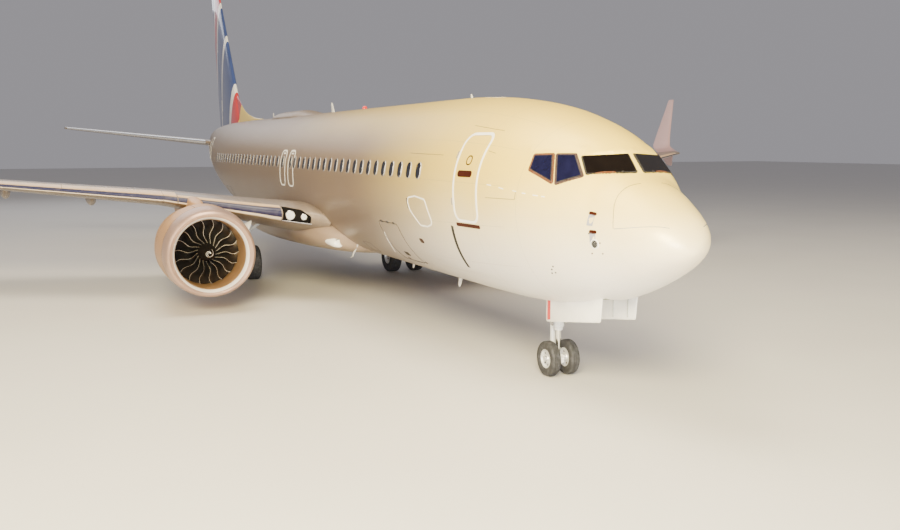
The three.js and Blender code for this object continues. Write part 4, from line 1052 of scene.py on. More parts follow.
def cabin_glass():
    return known("cabin_glass", glass_finish, (0.010, 0.011, 0.018))


def clear_lamp():
    return known("clear_lamp", lamp_finish, (0.92, 0.92, 0.88))


def window_patches(side):
    """The cabin windows of one side and whether each sits in an exit, where it keeps to the exit's middle."""
    size = body_sizes()
    for k in range(size.window_count):
        station = size.window_first + k * size.window_pitch
        if abs(station - sum(EXIT_STATIONS.values()) / 2) < 0.2:
            continue
        within = next((s for s in EXIT_STATIONS.values() if abs(s - station) < 0.2), None)
        low = size.window_rise - size.window_height / 2
        yield within, plate(side, within or station, low, size.window_width, size.window_height,
                            size.window_width / 2 * 0.96)


# Cockpit panes: corners in x, station and height above BODY_MID, on the starboard side
PANES = {
    "front": [(-0.756, 2.047, 0.784), (-0.048, 1.742, 0.828), (-0.059, 1.45, 0.538), (-0.835, 1.775, 0.507)],
    "sliding": [(-0.99, 2.466, 0.836), (-0.783, 2.139, 0.828), (-0.867, 1.783, 0.475), (-1.184, 2.162, 0.325)],
    "aft": [(-1.178, 2.869, 0.823), (-1.003, 2.493, 0.836), (-1.202, 2.204, 0.333), (-1.327, 2.806, 0.552)],
}
# How far past a pane the skin eases back: above and below it where it is drawn in, and where drawn out
PANE_FADE = {"in": 0.24, "below": 0.05, "out": 0.025}


def pane_patches():
    for key, corners in PANES.items():
        for side in (1, -1):
            places = np.array([at(-side * x, s, BODY_MID + z) for x, s, z in corners])
            yield key, side, Patch(snap(places), 0.028, flat=True)


SKIN_SOURCE = []


def skin_source():
    if not SKIN_SOURCE:
        SKIN_SOURCE.append(body_solid(rows=skin_rows(), sides=body_sizes().sides).moved(seated))
    return SKIN_SOURCE[0]


class AIRLINER_OT_body_skin(bpy.types.Operator):
    """Fuselage skin with its door, window and bay openings, the radome and the tail cone"""
    bl_idname = "airliner.body_skin"
    bl_label = "Fuselage skin"

    def execute(self, context):
        whole = skin_source()
        slab = lambda start, end: box(-FAR, FAR, start, end, -FAR, FAR)
        inner = lambda depth: body_solid(depth, 2.6, 36.0, 120, 64)
        body = carved(whole, "&", slab(-1, TAIL_CONE_START - 0.001), "-", ahead_of_seam(0.003))
        rooms = []
        for side, station, width, height, sill, depth, corner in DOORS.values():
            opening = door_block(side, station, width, height, sill, corner, PANEL_GAP)
            rooms.append(carved(opening, "-", inner(depth + 0.001)))
        for _, _, side, station in exits():
            width, height, sill, depth, corner = EXIT_SIZE
            opening = door_block(side, station, width, height, sill, corner, MOVING_GAP)
            rooms.append(carved(opening, "-", inner(depth + EXIT_ROOM)).finished(1))
        half = NOSE_BAY["half"]
        bay = box(-half, half, NOSE_BAY["start"], NOSE_BAY["end"], 0, BODY_MID + NOSE_BAY["roof"])
        rooms += [bay.finished(1), well_solid(1), well_solid(-1)]
        holes = Solid()
        for side in (1, -1):
            for _, patch in window_patches(side):
                holes.join(patch.pocket(0.022))
        for _, _, patch in pane_patches():
            holes.join(patch.pocket(0.03, -0.004))
        rooms.append(holes.finished(2))
        body = carved(body, *(step for room in rooms for step in ("-", room)))
        dress("fuselage", "skin", body, [skin_finish(), "bay_primer", "seal_black"], source=whole)
        c = colours()
        # The keel colour gives the radome's lower part a white painted light.
        radome = body_finish("radome_paint", shade(c.body, 1.03), c.keel, c.grime, laps=False, clean=0.6)
        dress("radome", "shell", carved(whole, "&", ahead_of_seam(0)), [radome], source=whole)
        z = BODY_MID + (BODY[-1][1] + BODY[-1][2]) / 2
        bore = rod(at(0, BODY_END - 0.3, z), at(0, BODY_END + 0.1, z), EXHAUST_RADIUS, sides=48, finish=1)
        tail = carved(whole, "&", slab(TAIL_CONE_START, LENGTH), "-", bore)
        dress("tail_cone", "shell", tail, [skin_finish(), "dark_steel"], source=whole)
        self.crest()
        return {"FINISHED"}

    def crest(self):
        shares = np.linspace(0, 1, 40)
        rises = eased([0, 0.2, 0.4, 0.75, 0.93, 1], [0.02, 0.5, 1, 1, 0.8, 0.02], shares)
        angle = np.linspace(0, pi, 40)
        rings = [at(CREST["half"] * (0.55 + 0.45 * rise) * np.cos(angle),
                    CREST["start"] + share * (CREST["end"] - CREST["start"]),
                    BODY_MID + CREST["base"] + (CREST["wall"] + CREST["rise"] * rise) * np.sin(angle))
                 for share, rise in zip(shares, rises)]
        piece("crown_fairing", loft(rings), [skin_finish()], angle=50)


class AIRLINER_OT_doors(bpy.types.Operator):
    """Fixed doors and the four overwing exits, with their bands, handles and windows"""
    bl_idname = "airliner.doors"
    bl_label = "Doors and exits"

    def execute(self, context):
        whole, band = skin_source(), body_sizes().band
        for name, (side, station, width, height, sill, depth, corner) in DOORS.items():
            panel = carved(door_block(side, station, width, height, sill, corner), "&", whole,
                           "-", body_solid(depth, max(station - 2.2, 2.0), station + 2.2, 40, 112))
            fittings = self.cargo_fittings if "cargo" in name else self.entry_fittings
            dress(name, "panel", panel, [skin_finish()], source=whole)
            piece(name + "_fittings", fittings(side, station, width, height, sill),
                  "band_enamel seal_black steel surround_grey probe_brown", slot="bright_edge")
        bands = Solid()
        for name, body, side, station in exits():
            width, height, sill, depth, corner = EXIT_SIZE
            panel = carved(door_block(side, station, width, height, sill, corner), "&", whole,
                           "-", body_solid(depth, station - 1, station + 1, 10, 112))
            bands.join(plate(side, station, sill, width, height, corner).band(-0.012 - band, -0.012, 0.0008))
            trim = plate(side, station, sill + height - 0.07, 0.2, 0.05, 0.02).cover(
                (0, -0.004), (0, 0.003), (0.008, 0.005))
            for within, patch in window_patches(side):
                if within == station:
                    panel = carved(panel, "-", patch.pocket(0.02).finished(1))
                    trim.join(window_form(patch, 1, 2))
            dress(name, "panel", panel, [skin_finish(), "seal_black"], body=body, source=whole)
            piece(name + "_trim", trim, ["band_enamel", "surround_grey", cabin_glass()], body=body,
                  slot="bright_edge")
        piece("exit_bands", bands, "band_enamel")
        return {"FINISHED"}

    def entry_fittings(self, side, station, width, height, sill):
        band, top = body_sizes().band, sill + height
        made = plate(side, station, sill, width, height, 0.15).band(-band - 0.006, -0.006, 0.0008)
        threshold = plate(side, station, sill - 0.145, width * 1.12, 0.07, 0.025)
        made.join(threshold.cover((0, -0.004), (0, 0.012), (0.01, 0.016)), 4)
        made.join(plate(side, station, top - 0.536, 0.17, 0.16, 0.07).band(0.013, -0.010, 0.0025), 4)
        recess = plate(side, station + 0.05, top - 0.76, 0.50, 0.11, 0.05)
        made.join(recess.cover((-0.006, -0.004), (-0.004, 0.002), (0.004, 0.0025)), 4)
        grip = plate(side, station + 0.07, top - 0.735, 0.34, 0.055, 0.026)
        made.join(grip.cover((0, 0.0), (0.002, 0.011), (0.008, 0.016)))
        for rise in (0.32, 1.2):
            hinge = plate(side, station + width / 2 + 0.095, sill + rise - 0.07, 0.04, 0.14, 0.012)
            made.join(hinge.cover((0, -0.004), (0.002, 0.003), (0.008, 0.005)), 3)
        return made

    def cargo_fittings(self, side, station, width, height, sill):
        made = plate(side, station, sill, width, height, 0.09).band(-0.014, -0.006, 0.0006).finished(1)
        recess = plate(side, station, sill + 0.12, 0.26, 0.09, 0.03)
        made.join(recess.cover((0, -0.004), (0.002, 0.002), (0.006, 0.002)), 1)
        grip = plate(side, station, sill + 0.14, 0.2, 0.04, 0.015)
        made.join(grip.cover((0, 0.0), (0.002, 0.01), (0.006, 0.012)), 2)
        for share in (-0.32, 0, 0.32):
            hinge = plate(side, station + share * width, sill + height - 0.01, 0.13, 0.05, 0.012)
            made.join(hinge.cover((0, -0.004), (0.002, 0.004), (0.006, 0.005)), 2)
        return made


def window_form(patch, frame, pane):
    """A cabin window's rounded surround and its pane, set back in the skin."""
    made = patch.cover((-0.012, -0.003), (-0.010, 0.0015), (0.0, 0.002), (0.006, -0.001), (0.018, -0.010),
                       (0.020, -0.016)).finished(frame)
    sides = 5 * len(patch.ring(0, 0))
    made.faces, made.finishes = made.faces[:sides], made.finishes[:sides]
    return made.join(patch.cover((0.012, -0.018), (0.018, -0.0135), (0.022, -0.013)), pane)


class AIRLINER_OT_cabin_windows(bpy.types.Operator):
    """Rows of cabin windows with their surrounds and panes"""
    bl_idname = "airliner.cabin_windows"
    bl_label = "Cabin windows"

    def execute(self, context):
        for tag, side in SIDES.items():
            made = Solid()
            for within, patch in window_patches(side):
                if not within:
                    made.join(window_form(patch, 0, 1))
            piece(f"cabin_windows_{tag}", made, ["surround_grey", cabin_glass()], slot="bright_edge", angle=45)
        return {"FINISHED"}


class AIRLINER_OT_cockpit(bpy.types.Operator):
    """Windshield and side panes, their frames and seals, and the wipers"""
    bl_idname = "airliner.cockpit"
    bl_label = "Cockpit windows"

    def execute(self, context):
        made, wipers = Solid(), Solid()
        for key, _, patch in pane_patches():
            wide, rim, pane = {"front": (0.010, 1, 3), "sliding": (0.034, 2, 4), "aft": (0.036, 0, 4)}[key]
            made.join(patch.band(-0.008, wide, 0.003, 0.012), rim)
            made.join(patch.band(wide - 0.004, wide + 0.012, 0.0005, 0.025), 1)
            made.join(patch.cover((wide + 0.006, -0.028), (wide + 0.008, -0.006), (wide + 0.012, -0.005)),
                      pane)
        piece("cockpit_windows", made, ["frame_tan", "seal_black", "frame_plum",
                                        glass_finish("windshield_glass", (0.0045, 0.003, 0.002)),
                                        glass_finish("side_glass", (0.005, 0.005, 0.022))],
              slot="bright_edge", angle=40)
        inner, outer = np.array(PANES["front"][2:])
        for side in (1, -1):
            x, s, z = (inner + np.linspace(0.28, 0.80, 12)[:, None] * (outer - inner)).T
            places = snap(at(-side * x, s - 0.02, BODY_MID + z - 0.045))
            out = body_normals(places)
            wipers.join(rod(places[0] - out[0] * 0.02, places[0] + out[0] * 0.045, 0.026, sides=24,
                            edge=0.004))
            wipers.join(tube(places + out * 0.038, np.linspace(0.016, 0.009, 12), 10))
            wipers.join(strip(places[3:] + (0, 0, 0.03), 0.018, 0.03, -0.002), 1)
        piece("windshield_wipers", wipers, "seal_black frame_tan", slot="tyre")
        return {"FINISHED"}


# Lifting surfaces

TRAILING_THICKNESS = 0.0022


def half_thickness(share):
    return 5 * (0.2969 * np.sqrt(share) - 0.126 * share - 0.3516 * share ** 2 + 0.2843 * share ** 3
                - 0.1036 * share ** 4) + TRAILING_THICKNESS * 5


def foil_shares(count=26):
    upper = (1 - np.cos(np.linspace(0, pi, count))) / 2
    upper = 0.25 * np.linspace(0, 1, count) ** 2 + 0.75 * upper
    return np.concatenate([upper, upper[1:][::-1]]), np.concatenate(
        [half_thickness(upper), -half_thickness(upper[1:][::-1])])


def wing_ring(table, x, side):
    lead, trail, z, thickness, twist = row_at(table, x)
    shares, half = foil_shares()
    chord = trail - lead
    return at(side * x, lead + shares * chord,
              z + half * thickness * chord - tan(radians(twist)) * shares * chord)


def wing_solid(table, side, steps=40):
    places = np.unique(np.concatenate([np.linspace(table[0, 0], table[-1, 0], steps), table[:, 0]]).round(4))
    return loft([wing_ring(table, x, side) for x in places])


def bright_nose(table, side, places, reach, lift, sunk):
    """Nose skin a little proud of a lifting surface, back to a share of its chord."""
    shares = np.linspace(0, 1, reach[0]) ** 2 * reach[1]
    outer = np.concatenate([shares[::-1], shares[1:]])
    half = np.concatenate([half_thickness(shares[::-1]), -half_thickness(shares[1:])])
    proud = np.full((len(outer), 1), lift)
    proud[0] = proud[-1] = -0.002
    rings = []
    for x in places:
        lead, trail, z, thickness, twist = row_at(table, x)
        chord, drop = trail - lead, tan(radians(twist))
        skin = at(side * x, lead + outer * chord, z + half * thickness * chord - drop * outer * chord)
        away = unit(skin - at(side * x, lead + 0.03 * chord, z - 0.03 * chord * drop))
        rings.append(np.concatenate([skin + away * proud, (skin - away * sunk)[::-1]]))
    return loft(rings)


def chord_place(table, x, from_trail):
    lead, trail, z, thickness, twist = row_at(table, x)
    chord, share = trail - lead, 1 - from_trail
    return {"x": x, "station": lead + share * chord, "z": z - tan(radians(twist)) * share * chord,
            "half": float(half_thickness(share)) * thickness * chord}


def strip_block(a, b, forward, width, margin, side):
    """Block over a strip in plan behind the line from a to b, square to it at both ends."""
    a, b = np.asarray(a, float), np.asarray(b, float)
    along = unit(b - a)
    aft = np.array((-along[1], along[0]))
    aft = aft if aft[1] > 0 else -aft
    corner = lambda p, end, back: (p + end * along + back * aft) * (side, 1)
    return block("z", [corner(a, -margin, -forward[0]), corner(b, margin, -forward[1]),
                       corner(b, margin, width), corner(a, -margin, width)], -FAR, FAR)


def hinged(whole, table, spec, side):
    """A control surface with a round nose on its hinge line, and the room to cut for it."""
    start, end, chord = spec
    a, b = chord_place(table, start, chord), chord_place(table, end, chord)
    plan = lambda forward, margin: strip_block((a["x"], a["station"]), (b["x"], b["station"]), forward, 2.5,
                                               margin, side)
    nose = rod(at(side * a["x"], a["station"], a["z"]), at(side * b["x"], b["station"], b["z"]), a["half"],
               b["half"], sides=48)
    moving = carved(carved(whole, "&", plan((0, 0), 0)), "+", nose)
    return moving, plan((a["half"] + MOVING_GAP, b["half"] + MOVING_GAP), END_GAP)


def edge_block(start, end, chord, leading, side, margin=0.0):
    """Block over a part of the wing in plan, from its leading or its trailing edge inwards."""
    way = 1 if leading else -1
    edge = lambda x, reach: row_at(WING, x)[0 if leading else 1] + reach * (
        row_at(WING, x)[1] - row_at(WING, x)[0]) * way
    inner, outer = side * (start - margin), side * (end + margin)
    return block("z", [(inner, edge(start, 0) - 0.5 * way), (outer, edge(end, 0) - 0.5 * way),
                       (outer, edge(end, chord) + margin * way), (inner, edge(start, chord) + margin * way)],
                 0, FAR)


def track_form(x, length, side):
    lead, trail = row_at(WING, x)[:2]
    shares = np.linspace(0, 1, 36)
    sizes = eased([0, 0.12, 0.35, 0.65, 0.9, 1], [0.08, 0.6, 1, 0.9, 0.45, 0.05], shares)
    angle = turns(32)
    rings = []
    for share, size in zip(shares, sizes):
        station = trail + 0.35 - (1 - share) * length
        under = chord_place(WING, x, max((trail - station) / (trail - lead), 0))
        middle = under["z"] - under["half"] * 0.5 - TRACK_DEPTH * 0.42 * size
        rings.append(at(side * x + TRACK_HALF * size * np.cos(angle), station,
                        middle + TRACK_DEPTH * 0.5 * size * np.sin(angle)))
    return loft(rings)


def spoiler_forms(whole, side):
    """One side's spoiler panel, slotted as if it were several, and the room to cut for it."""
    a, b = (chord_place(WING, SPOILER[k], SPOILER["front"]) for k in ("start", "end"))
    plan = lambda forward, width, margin: strip_block((a["x"], a["station"]), (b["x"], b["station"]),
                                                      (forward, forward), width, margin, side)
    sunk = lambda depth: whole.moved(lambda p: p - (0, 0, depth))
    width, skin = SPOILER["width"], SPOILER["skin"]
    moving = carved(whole, "&", plan(0, width, 0), "-", sunk(skin),
                    "-", edge_block(*FLAPS["flap_outboard"], False, side, MOVING_GAP))
    rise = (b["station"] - a["station"]) / (b["x"] - a["x"])
    for i in range(1, SPOILER["slots"] + 1):
        x = a["x"] + i / (SPOILER["slots"] + 1) * (b["x"] - a["x"])
        cut = [(x + off, a["station"] + rise * (x + off - a["x"])) for off in (-0.005, 0.005)]
        moving = carved(moving, "-", strip_block(*cut, (-0.06, -0.06), width + 0.05, 0, side))
    room = carved(whole.moved(lambda p: p + (0, 0, 0.02)), "&",
                  plan(MOVING_GAP, width + MOVING_GAP, MOVING_GAP),
                  "-", sunk(skin + MOVING_GAP))
    return moving, room.finished(1)


LAMPS = {"start": 1.96, "end": 2.62, "depth": 0.26, "half": 0.165, "places": (2.42, 2.10), "radius": 0.155}


def lamp_housing(side):
    """The pocket for the landing lights in the wing root's leading edge, and the lamps and frame in it."""
    edge = lambda x: (row_at(WING, x)[0], row_at(WING, x)[2])
    half, depth = LAMPS["half"], LAMPS["depth"]
    rings = []
    for share, top in ((0, 0.04), (0.3, 0.19), (1, 0.22)):
        x = LAMPS["start"] + share * (LAMPS["end"] - LAMPS["start"])
        s, z = edge(x)
        rings.append(at(side * x, s + np.array((-0.4, depth, depth, -0.4)),
                        z + np.array((-half, -half, top, top))))
    made = Solid()
    for x, size in zip(LAMPS["places"], (0.9, 0.6)):
        lead, z = edge(x)
        radius, back = LAMPS["radius"] * size, lead + depth - 0.02
        face = back - 0.13
        made.join(rod(at(side * x, face + 0.012, z), at(side * x, back + 0.03, z), radius, radius * 0.8, 40,
                      0.01, 2))
        made.join(rod(at(side * x, face, z), at(side * x, face + 0.02, z), radius * 0.86, sides=40,
                      edge=0.008))
    path = [at(side * x, edge(x)[0] + half * half * 0.9, edge(x)[1] - half - 0.004)
            for x in np.linspace(LAMPS["start"] - 0.02, LAMPS["end"] + 0.02, 8)]
    return loft(rings, finish=2), made.join(tube(path, 0.014, 10), 2)


class AIRLINER_OT_wings(bpy.types.Operator):
    """Wings with their slats, flaps, ailerons, spoilers and flap track fairings"""
    bl_idname = "airliner.wings"
    bl_label = "Wings"

    def execute(self, context):
        # The slats and the inboard edges take the leading-edge finish, satin and unpolished, whose colours are
        # light, shade and reflection painted by facing.
        satin, polished = [satin_finish()], [known("leading_edge", facing_painted_edge_finish)]
        slat_edge = (SLAT["start"], SLAT["end"], SLAT["chord"], True)
        for tag, side in SIDES.items():
            whole = wing_solid(WING, side)
            aileron, room = hinged(whole, WING, AILERON, side)
            spoiler, spoiler_room = spoiler_forms(whole, side)
            slats = carved(whole, "&", edge_block(*slat_edge, side))
            for x in SLAT_SEAMS:
                slats = carved(slats, "-", box(side * (x - 0.004), side * (x + 0.004), 10, 30, 0, 9))
            wing = carved(whole, "-", edge_block(*slat_edge, side, 0.006), "-", room)
            for name, spec in FLAPS.items():
                flap = carved(whole, "&", edge_block(*spec, False, side))
                wing = carved(wing, "-", edge_block(*spec, False, side, 0.006))
                dress(f"{name}_{tag}", "panel", flap, satin, slot="wing_grey", source=whole)
            wing = carved(wing, "-", spoiler_room, "-", lamp_housing(side)[0])
            for x, length in TRACKS:
                wing.join(track_form(x, length, side))
            foot = lambda z: at(side * JACK_PAD["x"], JACK_PAD["station"], z)
            wing.join(rod(foot(JACK_PAD["bottom"]), foot(2.85), JACK_PAD["radius"], edge=0.01))
            dress(f"wing_{tag}", "skin", wing, [*satin, "bay_primer", "seal_black"], slot="wing_grey",
                  source=whole)
            dress(f"slats_{tag}", "edge", slats, polished, slot="bright_edge", source=whole)
            dress(f"aileron_{tag}", "panel", aileron, satin, body=f"aileron_{tag}", slot="wing_grey",
                  source=whole)
            dress(f"spoilers_{tag}", "panel", spoiler, satin, body=f"spoilers_{tag}", slot="wing_grey",
                  source=whole)
            places = np.linspace(LAMPS["end"] + 0.03, SLAT["start"] - 0.02, 24)
            piece(f"inboard_edge_{tag}", bright_nose(WING, side, places, (14, 0.055), 0.003, 0.01), polished,
                  slot="bright_edge", angle=40)
        return {"FINISHED"}


class AIRLINER_OT_winglets(bpy.types.Operator):
    """Split winglets that grow out of the wing tips"""
    bl_idname = "airliner.winglets"
    bl_label = "Winglets"

    def execute(self, context):
        shares, half = foil_shares()
        mauve = (0.45, 0.29, 0.30)
        paint = body_finish("winglet_paint", mauve, mauve, colours().grime, laps=False, clean=0.3)
        for tag, side in SIDES.items():
            made = []
            for table in (WINGLET_UP, WINGLET_DOWN):
                along = np.linspace(0, len(table) - 1, 44)
                rings = []
                for k in along:
                    x, z, lead, chord, thickness, lean = [
                        float(eased(np.arange(len(table)), table[:, i], k)) for i in range(6)]
                    off, lean = half * thickness * chord, radians(lean)
                    rings.append(at(side * (x - off * sin(lean)), lead + shares * chord, z + off * cos(lean)))
                made.append(loft(rings))
            whole = carved(made[0], "+", made[1])
            whole = carved(whole, "-", box(side * 14, side * 16.4005, 20, 26, 2, 6))
            dress(f"winglet_{tag}", "blade", whole, [paint], angle=40)
        return {"FINISHED"}


def squarish(table, sides, power, middle_x=0.0, middle_z=0.0, sections=48, start=0.0):
    """Rings of a form through rows of station, half width, top and bottom, squarer than round."""
    angle = (np.arange(sides) + start) * 2 * pi / sides
    squared = lambda value: np.sign(value) * np.abs(value) ** power
    rings = []
    for s in np.linspace(table[0, 0], table[-1, 0], sections):
        half, top, bottom = eased_columns(table, s)
        rings.append(at(middle_x + half * squared(np.cos(angle)), s,
                        middle_z + (top + bottom) / 2 + (top - bottom) / 2 * squared(np.sin(angle))))
    return loft(rings)


class AIRLINER_OT_fairing(bpy.types.Operator):
    """Wing-to-body fairing with its wheel wells"""
    bl_idname = "airliner.fairing"
    bl_label = "Wing-to-body fairing"

    def execute(self, context):
        whole = squarish(FAIRING, 120, 0.78, 0.0, BODY_MID, 70, 0.5)
        shell = carved(whole, "-", well_solid(1), "-", well_solid(-1))
        # The second colour, a darker copy of the first, is painted shade on the lower fairing.
        paint = body_finish("fairing_paint", (0.36, 0.25, 0.18), (0.30, 0.22, 0.16), colours().grime,
                            laps=False, clean=1.6)
        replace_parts(piece("belly_fairing", shell, [paint, "bay_primer"], source=whole), "wing_body_fairing")
        return {"FINISHED"}


class AIRLINER_OT_tail(bpy.types.Operator):
    """Fin, rudder, stabilisers and elevators"""
    bl_idname = "airliner.tail"
    bl_label = "Tail"

    def execute(self, context):
        satin = [satin_finish()]
        for tag, side in SIDES.items():
            whole = wing_solid(STABILISER, side)
            elevator, room = hinged(whole, STABILISER, ELEVATOR, side)
            dress(f"stabiliser_{tag}", "skin", carved(whole, "-", room), satin, slot="wing_grey", source=whole)
            dress(f"elevator_{tag}", "panel", elevator, satin, body=f"elevator_{tag}", slot="wing_grey",
                  source=whole)
            edge = bright_nose(STABILISER, side, np.linspace(1.3, 7.1, 20), (12, 0.045), 0.002, 0.006)
            piece(f"stabiliser_edge_{tag}", edge, [known("polished_edge", polished_finish, colours().bright)],
                  slot="bright_edge", angle=40)
        self.fin()
        return {"FINISHED"}

    def fin(self):
        shares, half = foil_shares()
        rings = []
        for z in np.unique(np.concatenate([np.linspace(5.0, HEIGHT, 36), FIN[:, 0]])):
            lead, trail, thick = row_at(FIN, z)
            rings.append(at(2 * half * thick, lead + shares * (trail - lead), z))
        main = loft(rings)
        grow = np.linspace(0, 1, 24)
        there_and_back = lambda outward, back: np.concatenate([outward, back[1:][::-1]])
        width = DORSAL_END["half"] * grow ** 0.75
        rings = []
        for z in np.linspace(5.0, 6.6, 30):
            start = eased(DORSAL[:, 0], DORSAL[:, 1], z)
            stations = start + (DORSAL_END["to"] - start) * grow
            rings.append(at(there_and_back(width, -width), there_and_back(stations, stations), z))
        full = carved(main, "+", loft(rings))
        low, high = self.rudder_place(RUDDER["bottom"]), self.rudder_place(RUDDER["top"])
        along = unit(np.array((high[0] - low[0], high[1] - low[1])))
        aft = np.array((along[1], -along[0]))

        def band(gap, margin):
            corner = lambda place, end, back: np.array(place[:2]) + end * along + back * aft
            ahead = lambda place: -(place[2] + MOVING_GAP) if gap else 0
            return block("x", [corner(low, -margin, ahead(low)), corner(high, margin, ahead(high)),
                               corner(high, margin, 2.5), corner(low, -margin, 2.5)], -2, 2)

        nose = rod(at(0, *low[:2]), at(0, *high[:2]), low[2], high[2], sides=48)
        c = colours()
        paint = [tail_finish("tail_bands", c.navy, c.red, c.white, c.body)]
        fin = carved(main, "+", loft(rings), "-", band(True, END_GAP))
        rudder = carved(carved(main, "&", band(False, 0)), "+", nose)
        dress("fin", "skin", fin, paint, slot="tail_paint", source=full)
        dress("rudder", "panel", rudder, paint, body="rudder", slot="tail_paint", source=main)

    def rudder_place(self, z):
        """Station, height and half thickness of the fin on the rudder's hinge line."""
        lead, trail, thick = row_at(FIN[1:], z)
        return (trail - RUDDER["chord"] * (trail - lead), z,
                2 * float(half_thickness(1 - RUDDER["chord"])) * thick)


# Engines

def on_engine(side, back, across_x, up):
    return at(side * ENGINE["x"] + across_x, ENGINE["fan"] + back, ENGINE["z"] + up)


def swept(profile, side, rise):
    """The cowl's profile of distance back and radius, swept round the engine's axis: wider than it is tall
    where rise gives the height of its upper half, and round where rise is not a number."""
    own = np.isnan(rise)
    wide = np.where(own, 1.0, WIDE)
    tall = {True: np.where(own, 1.0, rise), False: np.where(own, 1.0, LOW)}
    return loft([on_engine(side, profile[:, 0], profile[:, 1] * wide * cos(a),
                           profile[:, 1] * tall[sin(a) > 0] * sin(a)) for a in turns(96)], closed=True)


def body_of_turn(profile, side, sides=96, finish=0):
    """A profile of distance back and radius that starts and ends on the engine's axis."""
    angle = turns(sides)
    return loft([on_engine(side, back, radius * np.cos(angle), radius * np.sin(angle))
                 for back, radius in profile], finish=finish)


def smooth_profile(table, count=40):
    """More points along a profile, by the length run along it."""
    table = np.asarray(table, float)
    run = np.concatenate([[0], np.cumsum(np.linalg.norm(np.diff(table, axis=0), axis=1))])
    place = np.linspace(0, run[-1], count)
    return np.stack([eased(run, table[:, k], place) for k in (0, 1)], 1)


class AIRLINER_OT_engines(bpy.types.Operator):
    """Cowls with polished inlet lips, each with a painted highlight ring inside it and an inlet barrel painted
    in shade, sleeves, cores, pylons, and the strakes on the cowls with painted light on their upper faces and
    painted shade on their lower ones
    """
    bl_idname = "airliner.engines"
    bl_label = "Engines"

    def execute(self, context):
        c = colours()
        # The darker copy of the cowl colour is painted shade on the lower cowl.
        cowl_paint = body_finish("cowl_paint", c.cowl, shade(c.cowl, 0.9), c.grime, laps=False, clean=0.8)
        hot = hot_finish("nozzle_metal", c.hot)
        for tag, side in SIDES.items():
            outer, inner = smooth_profile(COWL_OUTER, 46), smooth_profile(COWL_INNER, 46)[::-1][:-1]
            profile = np.concatenate([outer, inner])
            rise = np.concatenate([np.interp(outer[:, 0], COWL_RISE[:, 0], COWL_RISE[:, 1]),
                                   np.where(inner[:, 0] < -0.88, 1.0, np.nan)])
            shell = swept(profile, side, rise)
            for k, face in enumerate(shell.faces):
                back, radius = np.mean([profile[i % len(profile)] for i in face], axis=0)
                # Inside the lip a near-white ring is a painted highlight on the bare lip; the barrel behind it
                # is orange-brown as painted shade over the liner.
                barrel = 1 if back < -0.74 else 2 if back < 0.2 else 3
                shell.finishes[k] = barrel if radius < 1.0 and back > -0.9 else 4 * (back < -0.36)
            dress(f"engine_cowl_{tag}", "shell", shell,
                  [cowl_paint, "inlet_lip", "inlet_barrel", "vane_grey", "lip_tan"], angle=50)
            piece(f"cowl_seams_{tag}", self.seams(side), "seal_black steel", slot="tyre")
            piece(f"cowl_strake_{tag}", self.strake(side), "white_enamel orange_enamel", angle=60)
            dress(f"reverser_sleeve_{tag}", "shell", self.sleeve(side), [cowl_paint, "vane_grey"], angle=40)
            core = body_of_turn(smooth_profile(CORE, 30), side)
            bore = body_of_turn([(3.6, 0.35), (3.9, 0.35)], side)
            core = carved(core, "-", bore, "+", body_of_turn(smooth_profile(PLUG, 24), side))
            dress(f"engine_core_{tag}", "nozzle", core, [hot], slot="hot_metal", angle=40)
            piece(f"guide_vanes_{tag}", self.guide_vanes(side), "vane_grey seal_black", slot="fan_metal")
            dress(f"pylon_{tag}", "fairing", self.pylon(side), [cowl_paint], angle=40)
        return {"FINISHED"}

    def on_cowl(self, side, back, angle, lift=0.0):
        """Places on the cowl at distances back and angles round it, and their offsets from its axis."""
        back, angle = np.broadcast_arrays(np.asarray(back, float), np.asarray(angle, float))
        radius = eased(COWL_OUTER[:, 0], COWL_OUTER[:, 1], back)
        tall = np.where(np.sin(angle) > 0, np.interp(back, COWL_RISE[:, 0], COWL_RISE[:, 1]), LOW)
        x, up = radius * WIDE * np.cos(angle), radius * tall * np.sin(angle)
        size = 1 + lift / np.hypot(x, up)
        return on_engine(side, back, x * size, up * size), (x, up)

    def seams(self, side):
        """Dark gaps round the fan cowl doors, with their latches under the belly."""
        made = Solid()
        section = ((-0.004, -0.003), (-0.004, 0.0012), (0.004, 0.0012), (0.004, -0.003))
        for back in (-0.36, 0.86):
            made.join(loft([self.on_cowl(side, back + off, turns(96), lift)[0] for off, lift in section],
                           closed=True))
        for centre, high in ((-pi / 2, 1.29), (pi * 0.42, 0.5), (pi * 0.58, 0.5)):
            backs = np.linspace(-0.36, high, 30)
            made.join(loft(np.stack([self.on_cowl(side, backs, centre + off / 1.15, lift)[0]
                                     for off, lift in section], 1)))
        for back in (-0.35, 0.05, 0.45):
            foot = self.on_cowl(side, back, -pi / 2)[0]
            made.join(block("z", [(foot[0] + a, back + ENGINE["fan"] + b) for a, b in
                                  rounded(rectangle(0, -0.055, 0.05, 0.11), 0.012, 0, 4, 1)],
                            foot[2] - 0.004, foot[2] + 0.02), 1)
        return made

    def strake(self, side):
        """Thin curved fin on the inboard shoulder of the cowl, white on its upper face as painted light and
        orange on its lower face as painted shade.
        """
        backs = np.linspace(-0.35, 0.90, 24)
        share = (backs + 0.35) / 1.25
        rise = 0.42 * np.clip(share, 0, 1) ** 0.8 * np.clip((1.02 - share) / 0.12, 0, 1) ** 0.5
        rings = []
        for back, height in zip(backs, rise):
            root, (x, up) = self.on_cowl(side, back, radians(153 if side > 0 else 27))
            out = np.array((x, 0, up)) / hypot(x, up)
            flat = np.array((-out[2], 0, out[0]))
            rings.append([root + out * rise_by + flat * half for rise_by, half in (
                (-0.02, 0.009), (height * 0.8, 0.006), (height + 0.006, 0), (height * 0.8, -0.006),
                (-0.02, -0.009))])
        made = loft(rings)
